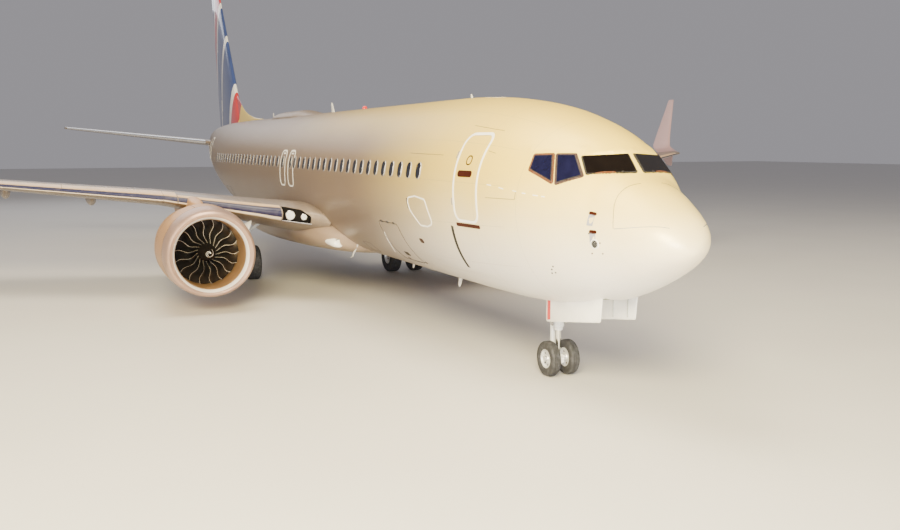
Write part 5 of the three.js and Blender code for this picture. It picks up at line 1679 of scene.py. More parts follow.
        # Painted light and shade: the face that looks down takes the orange finish, the face that looks up
        # stays white.
        for k, face in enumerate(made.faces):
            made.finishes[k] = int({i % 5 for i in face} <= ({2, 3, 4} if side < 0 else {0, 1, 2}))
        return made

    def sleeve(self, side):
        """Reverser sleeve that ends in chevrons."""
        outer, inner = smooth_profile(SLEEVE_OUTER, 24), smooth_profile(SLEEVE_INNER, 16)[::-1]
        profile = np.concatenate([outer, inner])
        count = len(profile)
        share = np.clip((profile[:, 0] - 2.3) / (2.85 - 2.3), 0, 1)
        near = np.clip(1 - (profile[:, 0] - 1.305) / 0.9, 0, 1) ** 2 * (np.arange(count) < len(outer))
        wide = 1 + (WIDE - 1) * near
        rings = []
        for i, angle in enumerate(turns(CHEVRONS * 8)):
            wave = abs((i / 8) % 1 - 0.5) * 2
            wave = wave * wave * (3 - 2 * wave)
            tall = 1 + ((LOW if sin(angle) < 0 else 1.0) - 1) * near
            rings.append(on_engine(side, profile[:, 0] - share * CHEVRON_DEPTH * (1 - wave),
                                   profile[:, 1] * wide * cos(angle), profile[:, 1] * tall * sin(angle)))
        shell = loft(rings, closed=True)
        for k, face in enumerate(shell.faces):
            rows = [i % count for i in face]
            if min(rows) >= len(outer) - 1 or max(rows) - min(rows) > 5:
                shell.finishes[k] = 1
        return shell

    def guide_vanes(self, side):
        made = Solid()
        section = ((0, 0), (0.15, 1), (0.5, 0.9), (1, 0), (0.5, -0.5), (0.15, -0.7))
        for angle in turns(40):
            rings = []
            for radius in np.linspace(0.40, 0.90, 6):
                bows = [angle - 0.10 * (1 - along) ** 2 + thick * 0.006 / radius for along, thick in section]
                rings.append([on_engine(side, 0.45 + along * 0.2, radius * cos(bow), radius * sin(bow))
                              for (along, _), bow in zip(section, bows)])
            made.join(loft(rings))
        made.join(body_of_turn([(0.75, 0.2), (0.76, 0.92)], side, 64, 1))
        hub = smooth_profile([(0.16, 0.262), (0.3, 0.33), (0.44, 0.42), (0.75, 0.46)], 12)
        return made.join(body_of_turn(hub, side, 64))

    def pylon(self, side):
        hollow = body_of_turn([(-0.6, 0.93), (0.0, 0.93), (1.3, 1.02), (2.7, 0.89), (2.87, 0.87)], side, 64)
        return carved(squarish(PYLON, 40, 0.5, side * ENGINE["x"]), "-", hollow)


class AIRLINER_OT_fans(bpy.types.Operator):
    """Fans: wide swept blades round a spinner with a spiral mark"""
    bl_idname = "airliner.fans"
    bl_label = "Fans"

    def execute(self, context):
        metal = blade_finish("fan_blade_metal", colours().blade)
        for tag, side in SIDES.items():
            made = Solid()
            for angle in turns(FAN["blades"]):
                made.join(self.blade(side, angle))
            nose = [(FAN["spinner"], 0.004), (-0.552, 0.035), (-0.525, 0.07), (-0.46, 0.115), (-0.36, 0.163),
                    (FAN["front"], 0.225), (-0.06, 0.249), (FAN["rear"], FAN["hub"])]
            profile = smooth_profile(nose, 40)
            made.join(body_of_turn(profile, side, 72, 1))
            made.join(self.spiral(side, profile))
            dress(f"fan_{tag}", "blades", made, [metal, "seal_black", "white_enamel", "blade_edge"],
                  body=f"fan_{tag}", slot="fan_metal", angle=40)
        return {"FINISHED"}

    def blade(self, side, angle):
        first, last = BLADE[0, 0], BLADE[-1, 0]
        radii = np.linspace(first, last, 16)
        along = (1 - np.cos(np.linspace(0, pi, 10))) / 2
        thick = np.sin(pi * along ** 0.8) ** 0.8
        camber = 0.10 * np.sin(pi * along)
        rings = []
        for radius, chord, stagger, sweep, lean, thickness in zip(radii, *eased_columns(BLADE, radii)):
            face = lambda way: np.stack([along - 0.5, camber * chord + way * thick * thickness / 2], 1)
            off, rise = np.concatenate([face(1), face(-1)[::-1][1:-1]]).T
            turn = radians(stagger)
            back = off * chord * cos(turn) + rise * sin(turn) + sweep
            round_by = off * chord * sin(turn) - rise * cos(turn)
            wave = 0.085 * sin(2 * pi * (radius - first) / (last - first))
            turn = angle + radians(lean) + wave + round_by / radius
            rings.append(on_engine(side, back, radius * np.cos(turn), radius * np.sin(turn)))
        made = loft(rings)
        count = len(rings[0])
        # Faces along each blade's leading edge take the bright edge finish: the real metal strip, painted
        # near-white as a painted highlight.
        for k, face in enumerate(made.faces):
            if len(face) == 4 and {i % count for i in face} <= {count - 1, 0, 1, 2}:
                made.finishes[k] = 3
        return made

    def spiral(self, side, profile):
        """White comma painted on the spinner."""
        rings = []
        for share in np.linspace(0, 1, 44):
            turn, middle = share * 2.3 * pi, 0.022 + 0.100 * share
            wide = 0.005 + 0.015 * sin(pi * min(share * 1.1, 1)) ** 0.6
            rings.append([on_engine(side, np.interp(radius, profile[:, 1], profile[:, 0]) + lift,
                                    radius * cos(turn), radius * sin(turn))
                          for radius, lift in ((middle - wide, 0.003), (middle - wide, -0.002),
                                               (middle + wide, -0.002), (middle + wide, 0.003))])
        return loft(rings, finish=2)


# Landing gear

def wheel_turn(profile, x, station, z, sides=96):
    """A profile of distance along the axle and radius, swept round an axle that runs along X."""
    profile = np.asarray(profile, float)
    return loft([at(x + profile[:, 0], station + profile[:, 1] * cos(a), z + profile[:, 1] * sin(a))
                 for a in turns(sides)], closed=True)


def tyre_profile(wheel, grooves):
    """Half-round walls, a flattish crown with grooves, and a bead on the rim."""
    w, r, rim = wheel["width"] / 2, wheel["radius"], wheel["rim"] + 0.001
    bulge = ((0.95, 0.30), (1, 0.52), (0.965, 0.72), (0.86, 0.88))
    wall = smooth_profile([(-w * 0.70, rim), (-w * 0.78, rim + 0.02),
                           *((-w * share, rim + (r - rim) * rise) for share, rise in bulge),
                           (-w * 0.72, r - 0.009)], 22)
    crown = [(-w * 0.62, r - 0.004)]
    for k in range(grooves):
        middle = w * (-0.48 + 0.96 * k / (grooves - 1))
        drop = 0.0035 * (middle / w) ** 2
        crown += [(middle + off, r - deep) for off, deep in ((-0.007, drop), (-0.005, 0.011), (0.005, 0.011),
                                                             (0.007, drop))]
    crown.append((w * 0.62, r - 0.004))
    return np.concatenate([wall, crown, wall[::-1] * (-1, 1)])


def wheel_form(wheel, x, station, z, outward):
    """A forged wheel with a dished web, holes, tie bolts and a hub cap on its outward face."""
    w, rim = wheel["width"] / 2, wheel["rim"]
    side = [(-0.70 * w, rim), (-0.76 * w, rim + 0.012), (-0.80 * w, rim + 0.006), (-0.78 * w, rim * 0.93),
            (-0.45 * w, rim * 0.86), (-0.30 * w, rim * 0.62), (-0.42 * w, rim * 0.42), (-0.62 * w, rim * 0.36),
            (-0.62 * w, rim * 0.2)]
    body = wheel_turn(side + [(-off, radius) for off, radius in side[::-1]], x, station, z, 80)
    count = 9 if rim > 0.2 else 7
    place = lambda off, share, a: at(x + off * w, station + rim * share * cos(a), z + rim * share * sin(a))
    holes = Solid()
    for a in turns(count):
        holes.join(rod(place(-1, 0.70, a), place(1, 0.70, a), rim * 0.105, sides=24))
    body = carved(body, "-", holes.finished(1))
    for a in turns(count * 2) + pi / (count * 2):
        body.join(rod(place(outward * 0.30, 0.50, a), place(outward * 0.47, 0.50, a), rim * 0.028, sides=6), 2)
    angle = turns(40)
    cap = ((0.55, 0.30), (0.66, 0.30), (0.72, 0.24), (0.74, 0.12), (0.745, 0.01))
    return body.join(loft([at(x + outward * off * w, station + rim * size * np.cos(angle),
                              z + rim * size * np.sin(angle)) for off, size in cap], finish=2))


class AIRLINER_OT_wheels(bpy.types.Operator):
    """Grooved tyres and forged wheels of all three legs"""
    bl_idname = "airliner.wheels"
    bl_label = "Wheels and tyres"

    def execute(self, context):
        rubber = rubber_finish("tyre_rubber", (0.022, 0.022, 0.024))
        metals = "wheel_paint dark_steel steel"
        s, z = NOSE_GEAR["station"], NOSE_GEAR["axle"]
        pair = Solid()
        for tag, side in SIDES.items():
            x = side * NOSE_WHEEL["x"]
            dress(f"nose_tyre_{tag}", "rubber", wheel_turn(tyre_profile(NOSE_WHEEL, 3), x, s, z), [rubber],
                  body="nose_wheel_pair", slot="tyre", angle=30)
            pair.join(wheel_form(NOSE_WHEEL, x, s, z, side))
        pair.join(rod(at(-0.3, s, z), at(0.3, s, z), 0.041))
        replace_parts(piece("nose_wheel_hubs", pair, metals, body="nose_wheel_pair", slot="wheel_metal"),
                    "nose_wheels")
        for tag, side in SIDES.items():
            middle, s, z = side * MAIN_GEAR["x"], MAIN_GEAR["station"], MAIN_GEAR["axle"]
            pair = Solid()
            for place, way in (("inner", -1), ("outer", 1)):
                x = middle + side * way * MAIN_WHEEL["x"]
                dress(f"main_tyre_{tag}_{place}", "rubber", wheel_turn(tyre_profile(MAIN_WHEEL, 4), x, s, z),
                      [rubber], body=f"main_wheel_pair_{tag}", slot="tyre", angle=30)
                pair.join(wheel_form(MAIN_WHEEL, x, s, z, side * way))
            pair.join(rod(at(middle - 0.6, s, z), at(middle + 0.6, s, z), 0.061))
            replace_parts(piece(f"main_wheel_hubs_{tag}", pair, metals, body=f"main_wheel_pair_{tag}",
                              slot="wheel_metal"), f"main_wheels_{tag}")
        return {"FINISHED"}


LEG_FINISHES = "gear_enamel chrome hose_black steel"


class AIRLINER_OT_gear_legs(bpy.types.Operator):
    """Finishes for the legs, and their oleo sleeves, hoses, lamps, brakes and the nose gear doors"""
    bl_idname = "airliner.gear_legs"
    bl_label = "Landing gear legs"

    def execute(self, context):
        for name in ("nose_leg", "nose_steering_leg", "main_leg_port", "main_leg_starboard"):
            node = frame["nodes"][name]
            node.data.materials.clear()
            node.data.materials.append(small_finish("gear_enamel"))
        self.nose_leg(NOSE_GEAR["station"])
        for tag, side in SIDES.items():
            piece(f"main_leg_fittings_{tag}", self.main_leg(side * MAIN_GEAR["x"], MAIN_GEAR["station"]),
                  LEG_FINISHES, slot="gear_white")
        self.nose_doors()
        self.bay()
        return {"FINISHED"}

    def nose_leg(self, s):
        fixed, lamps, steered = Solid(), Solid(), Solid()
        for z in (0.90, 1.12, 1.45, 1.72):
            fixed.join(rod(at(0, s, z), at(0, s, z + 0.035), 0.088, sides=40, edge=0.006))
        for x in (-0.055, 0.055):
            fixed.join(tube([at(x, s - 0.09, 1.72), at(x * 1.5, s - 0.12, 1.5), at(x * 1.2, s - 0.10, 1.25),
                             at(x, s - 0.10, 1.1)], 0.009), 2)
        for x in (-0.13, 0.13):
            fixed.join(rod(at(x, s - 0.12, 1.30), at(x, s - 0.20, 1.30), 0.055, 0.075, sides=40, edge=0.006))
            fixed.join(rod(at(x * 0.4, s - 0.05, 1.30), at(x, s - 0.13, 1.30), 0.02, sides=16))
            lamps.join(rod(at(x, s - 0.199, 1.30), at(x, s - 0.206, 1.30), 0.066, 0.058, sides=40))
        piece("nose_leg_fittings", fixed, LEG_FINISHES, slot="gear_white")
        piece("nose_leg_lamps", lamps, [clear_lamp()], slot="bright_edge")
        steered.join(rod(at(0, s, 0.45), at(0, s, 0.87), 0.0495, sides=40), 1)
        for x in (-0.115, 0.115):
            steered.join(rod(at(x, s, 1.005), at(x * 1.35, s, 1.005), 0.035, sides=24, edge=0.004), 3)
        for z in (1.005, 0.51):
            steered.join(rod(at(-0.06, s + 0.215, z), at(0.06, s + 0.215, z), 0.022, sides=20), 3)
        steered.join(tube([at(0.06, s + 0.09, 1.0), at(0.10, s + 0.25, 0.9), at(0.09, s + 0.20, 0.65),
                           at(0.06, s + 0.06, 0.45)], 0.008), 2)
        piece("nose_steering_fittings", steered, LEG_FINISHES, body="nose_steering", slot="gear_white")

    def main_leg(self, x, s):
        """Sleeves, link pins, hoses and brakes of one main leg."""
        made = rod(at(x, s, 0.68), at(x, s, 1.115), 0.0895, sides=48).finished(1)
        for z in (1.125, 1.5, 1.95, 2.3):
            made.join(rod(at(x, s, z), at(x, s, z + 0.05), 0.142, sides=48, edge=0.008))
        for z in (1.155, 0.675):
            made.join(rod(at(x - 0.075, s + 0.27, z), at(x + 0.075, s + 0.27, z), 0.032, sides=24), 3)
        for off in (-0.06, 0.06):
            made.join(tube([at(x + off * share, s - back, z) for share, back, z in (
                (1, 0.15, 2.3), (1.4, 0.19, 1.9), (1, 0.16, 1.4), (1.6, 0.15, 1.05), (2.4, 0.12, 0.75))],
                           0.012), 2)
        for way in (-1, 1):
            hub, axle = x + way * 0.145, MAIN_GEAR["axle"]
            made.join(rod(at(hub, s, axle), at(hub + way * 0.06, s, axle), 0.21, sides=48, edge=0.01), 3)
            for a in turns(6):
                piston = lambda x: at(x, s + 0.15 * cos(a), 0.558 + 0.15 * sin(a))
                made.join(rod(piston(hub - way * 0.03), piston(hub), 0.035, sides=20, edge=0.004))
        return made

    def nose_doors(self):
        d = NOSE_DOOR
        for tag, side in SIDES.items():
            across_at = lambda off: side * (d["x"] + off)
            along_at = lambda share: d["start"] + share * (d["end"] - d["start"])
            outline = [(d["start"] + 0.06, d["front_low"]), (d["end"], d["rear_low"]), (d["end"], d["top"]),
                       (d["start"], d["top"])]
            rings = []
            for inset, off in ((0.006, 0), (0, 0.004), (0, d["thickness"] - 0.004), (0.006, d["thickness"])):
                ring = rounded(outline, 0.05, inset, 8, 8)
                rings.append(at(across_at(off), ring[:, 0], ring[:, 1]))
            panel = loft(rings)
            stripe = [(d["end"] - 0.16, 1.16), (d["end"] - 0.05, 1.135), (d["end"] - 0.05, 1.85),
                      (d["end"] - 0.16, 1.85)]
            panel.join(block("x", rounded(stripe, 0.01, 0, 3, 2), across_at(d["thickness"] - 0.001),
                             across_at(d["thickness"] + 0.0012)), 2)
            for share in (0.14, 0.38, 0.62, 0.86):
                s, low = along_at(share), d["front_low"] + share * (d["rear_low"] - d["front_low"]) + 0.05
                rib = rounded([(s - 0.02, low), (s + 0.02, low), (s + 0.02, 1.80), (s - 0.02, 1.80)], 0.012, 0,
                              4, 1)
                panel.join(block("x", rib, across_at(0) + side * 0.001, across_at(0) - side * 0.011), 1)
            for share in (0.2, 0.8):
                panel.join(tube([at(across_at(0) + side * off, along_at(share), z) for off, z in (
                    (0.005, 1.78), (-0.012, 1.86), (-0.014, 1.97))], 0.014, 12), 3)
            dress(f"nose_gear_door_{tag}", "panel", panel, "white_enamel door_lining red_enamel steel",
                  slot="gear_white", angle=40)

    def bay(self):
        """Frames and pipes in the nose wheel bay and in the main wells."""
        made = Solid()
        half, roof = NOSE_BAY["half"], BODY_MID + NOSE_BAY["roof"]
        for s in np.arange(2.15, 4.3, 0.30):
            made.join(box(-half + 0.001, half - 0.001, s - 0.012, s + 0.012, roof - 0.05, roof + 0.001))
            for side in (1, -1):
                made.join(box(side * (half - 0.03), side * (half + 0.001), s - 0.012, s + 0.012,
                              roof - (0.30 if s > 2.6 else 0.16), roof + 0.001))
        for x, lift in ((-0.24, 0.07), (-0.2, 0.07), (0.22, 0.08)):
            made.join(tube([at(x, 2.0, roof - lift), at(x, 2.8, roof - lift - 0.01),
                            at(x * 0.95, 3.4, roof - lift), at(x, 4.3, roof - lift)], 0.011), 1)
        s, r, top = WHEEL_WELL["station"], WHEEL_WELL["radius"], BODY_MID + WHEEL_WELL["roof"]
        for x in (WHEEL_WELL["x"], -WHEEL_WELL["x"]):
            for off in (-0.35, 0.0, 0.35):
                reach = sqrt(r * r - off * off) - 0.002
                made.join(box(x - reach, x + reach, s + off - 0.015, s + off + 0.015, top - 0.07, top + 0.001))
            for off in (-0.2, 0.1, 0.25):
                reach = sqrt(r * r - off * off) - 0.01
                made.join(tube([at(x + off, s - reach, top - 0.11), at(x + off * 0.8, s, top - 0.12),
                                at(x + off, s + reach, top - 0.11)], 0.014), 1)
        piece("bay_frames_and_pipes", made, "bay_primer steel", slot="gear_white")


# Small fittings

class AIRLINER_OT_nose_fittings(bpy.types.Operator):
    """Probes, vanes, static ports, conductor strips and panel outlines on the forward fuselage"""
    bl_idname = "airliner.nose_fittings"
    bl_label = "Nose fittings"

    def execute(self, context):
        probes, strips = Solid(), Solid()
        for side in (1, -1):
            for x, s, z in ((0.957, 1.353, -0.096), (0.994, 1.284, -0.382)):
                self.probe(probes, snap(at(side * x, s, BODY_MID + z)))
            self.vane(probes, snap(at(side * 0.972, 1.254, BODY_MID - 0.572)), side)
            ends = [at(side * x, s, BODY_MID + z) for x, s,
                    z in ((0.843, 0.921, -0.311), (0.308, 0.216, -0.274))]
            strips.join(strip([ends[0] + t * (ends[1] - ends[0]) for t in np.linspace(0, 1, 16)], 0.010,
                              0.002))
        piece("nose_probes", probes, "steel chrome seal_black red_enamel white_enamel probe_brown plate_grey",
              slot="bright_edge")
        piece("radome_strips", strips, "surround_grey", slot="bright_edge")
        self.panels()
        return {"FINISHED"}

    def probe(self, made, root):
        """A hooked pitot probe on its base, with a plate below it."""
        out = body_normals(root)
        flat = lambda fore, aft, low, high, radius: Patch(
            root + ((0, fore, low), (0, aft, low), (0, aft, high), (0, fore, high)), radius)
        made.join(flat(-0.05, 0.06, -0.20, -0.02, 0.012).cover((0, -0.003), (0, 0.0012), (0.006, 0.0015)), 6)
        made.join(flat(-0.07, 0.07, -0.03, 0.03, 0.028).cover((0, -0.003), (0.001, 0.004), (0.006, 0.006)), 5)
        arm = [root + out * off + (0, y, z) for off, y, z in (
            (-0.01, 0, 0), (0.06, 0, 0), (0.10, -0.03, -0.01), (0.115, -0.10, -0.03), (0.115, -0.20, -0.06))]
        made.join(tube(arm, [0.020, 0.016, 0.013, 0.011, 0.008], 16), 5)

    def vane(self, made, disc, side):
        """An angle vane on its disc, with the static ports and studs round it."""
        out = body_normals(disc)
        stud = lambda place, high, radius, sides, edge=0.0: rod(
            place - body_normals(place) * 0.01, place + body_normals(place) * high, radius, sides=sides,
            edge=edge)
        made.join(stud(disc, 0.004, 0.082, 48, 0.001), 4)
        made.join(stud(disc, 0.006, 0.064, 48, 0.002), 2)
        vane = disc + out * 0.02
        made.join(loft([circle(vane + out * off, *across(out), radius, 20)
                        for off, radius in ((-0.012, 0.02), (0.004, 0.018))]), 2)
        blade = vane + ((0, -0.01, 0.02), (0, 0.10, 0.012), (0, 0.10, -0.012), (0, -0.01, -0.02))
        made.join(loft([blade, blade + out * 0.045]), 2)
        for s, z in ((2.351, -1.10), (2.30, -1.15), (2.40, -1.17), (2.28, -1.04)):
            made.join(stud(on_side(s, z, side), 0.0012, 0.014, 24), 2)
        for y, z in ((0.10, 0.16), (0.05, 0.02), (-0.10, 0.02), (0.08, -0.16), (-0.12, -0.17)):
            made.join(stud(snap(disc + (0, y, z)), 0.0015, 0.011, 16), 5)

    def panels(self):
        """Outlines of fixed panels and the dark strips below the forward doors."""
        made = Solid()
        lines = ([(path, 12, 0.006, 0.0006, 0) for path in (
            ((5.085, 1.355), (4.012, 1.241)), ((4.07, 0.880), (3.825, 0.839)), ((3.83, 0.052), (2.971, 0.058)),
            ((2.967, 0.06), (2.963, 0.186)), ((7.215, 0.818), (5.611, 0.792)),
            ((1.153, 0.376), (1.19, 0.331), (1.169, 0.232), (1.104, 0.08), (1.0, -0.115), (0.936, -0.304)))]
                 + [(path, 4, 0.016, 0.0008, 2) for path in (
                     ((3.807, 0.285), (3.674, 0.274)), ((3.44, 0.246), (3.301, 0.225)),
                     ((3.045, 0.205), (2.952, 0.195)), ((2.806, 0.176), (2.72, 0.168)),
                     ((2.55, 0.152), (2.44, 0.143)), ((2.36, 0.137), (2.291, 0.13)))]
                 + [(((5.21, -0.56), (5.27, -0.86), (5.38, -1.41)), 16, 0.09, 0.003, 1),
                    (((9.318, -1.021), (9.50, -1.36), (9.721, -1.555)), 14, 0.022, 0.0008, 2)])
        for side in (1, -1):
            for path, count, width, lift, finish in lines:
                made.join(strip(side_path(path, side, count), width, lift), finish)
            for s, z, w, h in ((7.027, -1.07, 0.20, 0.10), (9.007, -1.65, 0.10, 0.05),
                               (7.999, -1.65, 0.10, 0.05)):
                made.join(plate(side, s, z, w, h, h * 0.48).cover((0, -0.004), (0, 0.0012), (0.006, 0.0015)),
                          3)
            for place in ((11.6, -1.72, 0.6, 0.24), (25.4, -1.45, 0.5, 0.26), (29.6, 0.25, 0.4, 0.3),
                          (34.9, 0.75, 0.55, 0.35)):
                made.join(plate(side, *place, 0.04).band(0, 0.005, 0.0005))
        hatch = snap([at(x, s, BODY_MID + z) for x, s, z in (
            (-1.85, 7.19, -0.10), (-1.848, 6.72, -0.04), (-1.835, 6.22, -0.09), (-1.726, 6.02, -0.59),
            (-1.715, 6.35, -0.68), (-1.722, 6.71, -0.68), (-1.811, 7.10, -0.37))])
        rings = []
        for inset, lift in ((0, -0.004), (0, 0.0008), (0.032, 0.0008), (0.032, -0.004)):
            ring = rounded(hatch[:, 1:] + (LENGTH / 2, -BODY_MID), 0.12, inset, 6, 5)
            places = on_side(ring[:, 0], ring[:, 1], -1)
            rings.append(places + lift * body_normals(places))
        made.join(loft(rings, closed=True), 2)
        slot = Patch([(7.10, -0.34), (7.16, -0.34), (7.20, -0.12), (7.14, -0.12)], 0.02, -1)
        made.join(slot.cover((0, -0.004), (0.001, 0.0012), (0.006, 0.0012)), 1)
        piece("skin_panel_outlines", made, "dark_steel seal_black band_enamel probe_brown")


def blade_form(foot, way, length, chord, width, rake):
    """A flat raked aerial with round edges that stands on the skin, upright or hanging."""
    along, out = np.array((0, 1.0, 0)), np.array((0, 0, way))
    sideways = np.cross(along, out)
    angle = turns(28)[:, None]
    rings = []
    for share in (-0.08, 0, 0.06, 0.3, 0.6, 0.85, 0.96, 1.0):
        size = (1 - 0.45 * max(share, 0)) * (1 if share < 0.96 else 0.55)
        centre = foot + out * length * share + along * rake * max(share, 0)
        rings.append(centre + np.cos(angle) * along * chord / 2 * size * (1 if share else 1.15)
                     + np.sin(angle) * sideways * width / 2 * size * (1.35 if share <= 0 else 1))
    return loft(rings)


class AIRLINER_OT_aerials(bpy.types.Operator):
    """Aerials, drain masts, air scoop and vents on the crown and the keel"""
    bl_idname = "airliner.aerials"
    bl_label = "Aerials and scoops"

    def execute(self, context):
        made, masts, scoop = Solid(), Solid(), Solid()
        for s, way, *sizes in ((18.3, 1.0, 0.32, 0.30, 0.035, 0.16), (7.9, 1.0, 0.10, 0.12, 0.02, 0.04),
                               (26.2, 1.0, 0.22, 0.22, 0.03, 0.10), (8.48, -1.0, 0.30, 0.24, 0.035, 0.10),
                               (11.4, -1.0, 0.20, 0.18, 0.03, 0.08), (26.0, -1.0, 0.24, 0.22, 0.03, 0.10)):
            made.join(blade_form(on_top(s, 0, way < 0), way, *sizes))
        for s, width, length, height in ((10.4, 0.20, 0.30, 0.022), (9.1, 0.18, 0.24, 0.022),
                                         (6.7, 0.30, 0.62, 0.075)):
            corners = ((-1, -1), (1, -1), (1, 1), (-1, 1))
            places = [on_top(s + dy * length / 2, dx * width / 2) for dx, dy in corners]
            made.join(Patch(places, min(width, length) * 0.3).cover(
                (0, -0.004), (0.004, height * 0.55), (0.02, height * 0.9), (0.04, height)))
        piece("aerials", made, "white_enamel", angle=45)
        angle = turns(24)[:, None]
        for root in (at(-0.957, 13.225, BODY_MID - 1.762), on_top(26.8, 0.55, True)):
            masts.join(loft([root + (0, y, z) + np.cos(angle) * (0, 1.0, 0) * size
                             + np.sin(angle) * (1.0, 0, 0) * size * 0.22 for y, z, size in (
                                 (-0.04, 0.06, 0.10), (0.10, -0.07, 0.08), (0.26, -0.20, 0.06),
                                 (0.38, -0.32, 0.045),
                                 (0.56, -0.37, 0.03))]))
        piece("drain_masts", masts, "white_enamel", angle=45)
        angle = turns(40)
        for side in (1, -1):
            rings = [at(side * (1.36 + 0.20 * share + 0.17 * size * np.cos(angle)), 13.52 + 0.62 * share,
                        BODY_MID + (-1.70 + 0.07 * share) + 0.13 * size * np.sin(angle))
                     for share, size in ((0, 0.72), (0.03, 0.86), (0.2, 1.0), (0.6, 0.92), (1.0, 0.5))]
            # Painted shade: a black lip round the upper front rim stands for the shaded mouth of the scoop,
            # which is not cut open.
            scoop.join(loft(rings)).join(tube(rings[1][6:20], 0.012, 8), 1)
        piece("air_scoops", scoop, "white_enamel seal_black", angle=45)
        return {"FINISHED"}


class AIRLINER_OT_lights(bpy.types.Operator):
    """Landing, navigation and beacon lights"""
    bl_idname = "airliner.lights"
    bl_label = "Lights"

    def execute(self, context):
        red, green = lamp_finish("red_lamp", (0.75, 0.03, 0.02)), lamp_finish("green_lamp", (0.03, 0.5, 0.12))
        for tag, side in SIDES.items():
            tip = at(side * 16.62, 22.60, 4.045)
            made = Solid().join(lamp_housing(side)[1])
            made.join(rod(tip - (0, 0.02, 0), tip + (0, 0.22, 0), 0.045, 0.03, sides=24, edge=0.02), 1)
            piece(f"wing_lights_{tag}", made, [clear_lamp(), red if side > 0 else green, "steel"],
                  slot="bright_edge")
        beacons, angle = Solid(), turns(32)
        for foot, way in ((on_top(15.2, 0), 1), (at(0, 15.6, BODY_MID - 2.10), -1)):
            beacons.join(loft([foot + np.stack([size * np.cos(angle), size * np.sin(angle),
                                                0 * angle + way * rise], 1)
                               for size, rise in ((0.085, -0.02), (0.085, 0.015), (0.075, 0.02), (0.07, 0.06),
                                                  (0.05, 0.085), (0.02, 0.096))]))
        piece("beacons", beacons, [red], slot="bright_edge", angle=40)
        return {"FINISHED"}


class AIRLINER_OT_wicks(bpy.types.Operator):
    """Static wicks on the trailing edges of the ailerons and the elevators"""
    bl_idname = "airliner.wicks"
    bl_label = "Static wicks"

    def execute(self, context):
        for tag, side in SIDES.items():
            for body, table, places in ((f"aileron_{tag}", WING, (13.4, 14.4, 15.4)),
                                        (f"elevator_{tag}", STABILISER, (4.4, 5.4, 6.3))):
                made = Solid()
                for x in places:
                    lead, trail, z, thickness, twist = row_at(table, x)
                    root = at(side * x, trail - 0.05, z - tan(radians(twist)) * (trail - lead) + 0.006)
                    reach = min(0.14, LENGTH - trail,
                                max(LENGTH - trail - 0.01, 0.0) if table is STABILISER else 1)
                    made.join(tube([root, root + (0, 0.05 + reach * 0.5, 0.004),
                                    root + (0, 0.05 + reach, 0.002)],
                                   [0.006, 0.004, 0.003], 8))
                piece(f"{body}_wicks", made, "hose_black", body=body, slot="tyre")
        return {"FINISHED"}


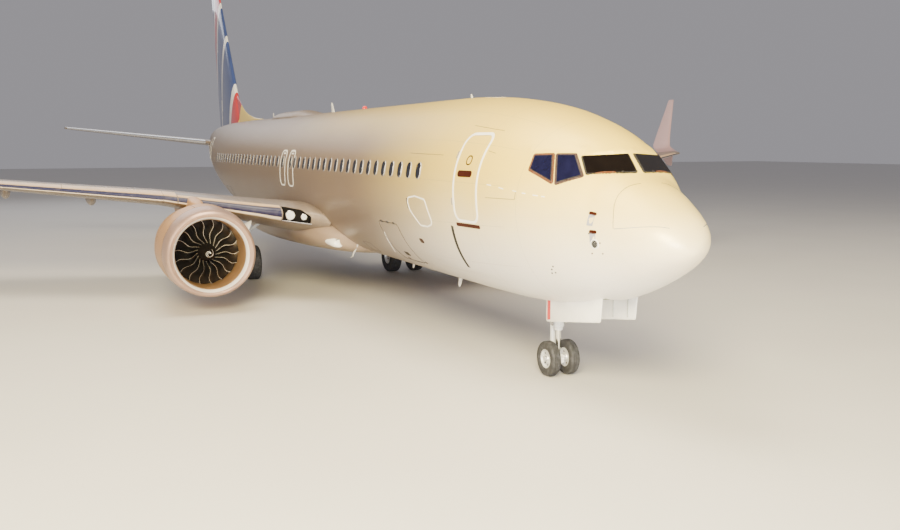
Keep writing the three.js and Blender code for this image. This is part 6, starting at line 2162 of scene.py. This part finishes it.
class AIRLINER_OT_stage(bpy.types.Operator):
    """Pale floor, soft studio lights and the camera"""
    bl_idname = "airliner.stage"
    bl_label = "Stage, lights and camera"

    def execute(self, context):
        scene = context.scene
        corners = [(-160, -160, 0), (160, -160, 0), (160, 160, 0), (-160, 160, 0)]
        floor = stand("floor", Solid().add(corners, [(0, 1, 2, 3)]))
        f = Finish("floor_matt")
        tone = f.noise(0.3, 4)
        floor.data.materials.append(f.done(f.blend(tone, (0.60, 0.585, 0.56), (0.66, 0.645, 0.62)),
                                           0.55 + tone * 0.1))
        floor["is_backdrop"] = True
        world = bpy.data.worlds.new("studio")
        world.use_nodes = True
        colour, strength = world.node_tree.nodes["Background"].inputs[:2]
        colour.default_value, strength.default_value = (0.96, 0.93, 1.0, 1.0), 0.34
        scene.world = world
        for name, place, aim, size, power, colour in (
                ("key", (-14, -36, 15), (-0.5, -16, 4.2), 10, 28000, (1.0, 0.84, 0.44)),
                ("top", (-5, -8, 25), (-0.5, -8, 5), 14, 7500, (1.0, 0.86, 0.62)),
                ("side", (-30, -22, 16), (-2, 0, 3), 22, 5000, (1.0, 0.84, 0.70)),
                ("fill", (34, -20, 22), (0, -4, 3), 26, 3500, (1.0, 0.90, 0.78)),
                ("aft", (-6, 42, 26), (0, 8, 4), 26, 4200, (0.92, 0.94, 1.0)),
                ("low_front", (-7.5, -36.0, 3.6), (-1.2, -15.0, 2.0), 6.0, 8200, (1.0, 0.97, 0.96))):
            data = bpy.data.lights.new(name, "AREA")
            data.shape, data.size, data.energy, data.color = "SQUARE", size, power, colour
            lamp = bpy.data.objects.new(name, data)
            lamp.location = place
            lamp.rotation_euler = (Vector(aim) - Vector(place)).to_track_quat("-Z", "Y").to_euler()
            scene.collection.objects.link(lamp)
        data = bpy.data.cameras.new("photo_view")
        data.lens, data.sensor_width, data.sensor_fit, data.clip_end = 38.55, 36.0, "HORIZONTAL", 500
        camera = bpy.data.objects.new("photo_view", data)
        yaw, pitch, roll = radians(23.94), radians(-7.17), radians(-0.07)
        look = Vector((sin(yaw) * cos(pitch), cos(yaw) * cos(pitch), sin(pitch)))
        turn = look.to_track_quat("-Z", "Y").to_matrix().to_4x4() @ Matrix.Rotation(roll, 4, "Z")
        camera.matrix_world = Matrix.Translation((-9.25, -31.477, 4.409)) @ turn
        scene.collection.objects.link(camera)
        scene.camera = camera
        return {"FINISHED"}


GROUPS = (AIRLINER_OT_body_skin, AIRLINER_OT_doors, AIRLINER_OT_cabin_windows, AIRLINER_OT_cockpit,
          AIRLINER_OT_fairing, AIRLINER_OT_wings, AIRLINER_OT_winglets, AIRLINER_OT_tail, AIRLINER_OT_engines,
          AIRLINER_OT_fans, AIRLINER_OT_wheels, AIRLINER_OT_gear_legs, AIRLINER_OT_nose_fittings,
          AIRLINER_OT_aerials, AIRLINER_OT_lights, AIRLINER_OT_wicks, AIRLINER_OT_stage)


class AIRLINER_PT_pieces(bpy.types.Panel):
    """The airliner's sizes, colours and pieces"""
    bl_label = "Airliner"
    bl_idname = "AIRLINER_PT_pieces"
    bl_space_type = "VIEW_3D"
    bl_region_type = "UI"
    bl_category = "Airliner"

    def draw(self, context):
        for group in (context.scene.airliner_body, context.scene.airliner_paint):
            column = self.layout.column()
            for key in group.__annotations__:
                column.prop(group, key)
        for group in GROUPS:
            self.layout.operator(group.bl_idname)


CLASSES = (BodySizes, PaintColours, *GROUPS, AIRLINER_PT_pieces)


def register():
    for kind in CLASSES:
        bpy.utils.register_class(kind)
    bpy.types.Scene.airliner_body = bpy.props.PointerProperty(type=BodySizes)
    bpy.types.Scene.airliner_paint = bpy.props.PointerProperty(type=PaintColours)


def unregister():
    del bpy.types.Scene.airliner_paint
    del bpy.types.Scene.airliner_body
    for kind in reversed(CLASSES):
        bpy.utils.unregister_class(kind)


def main():
    register()
    random.seed(3)
    for group in GROUPS:
        family, name = group.bl_idname.split(".")
        getattr(getattr(bpy.ops, family), name)()
    {"cad": CAD_BOX, "visual": [list(corner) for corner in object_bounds()]}


if __name__ == "__main__":
    main()
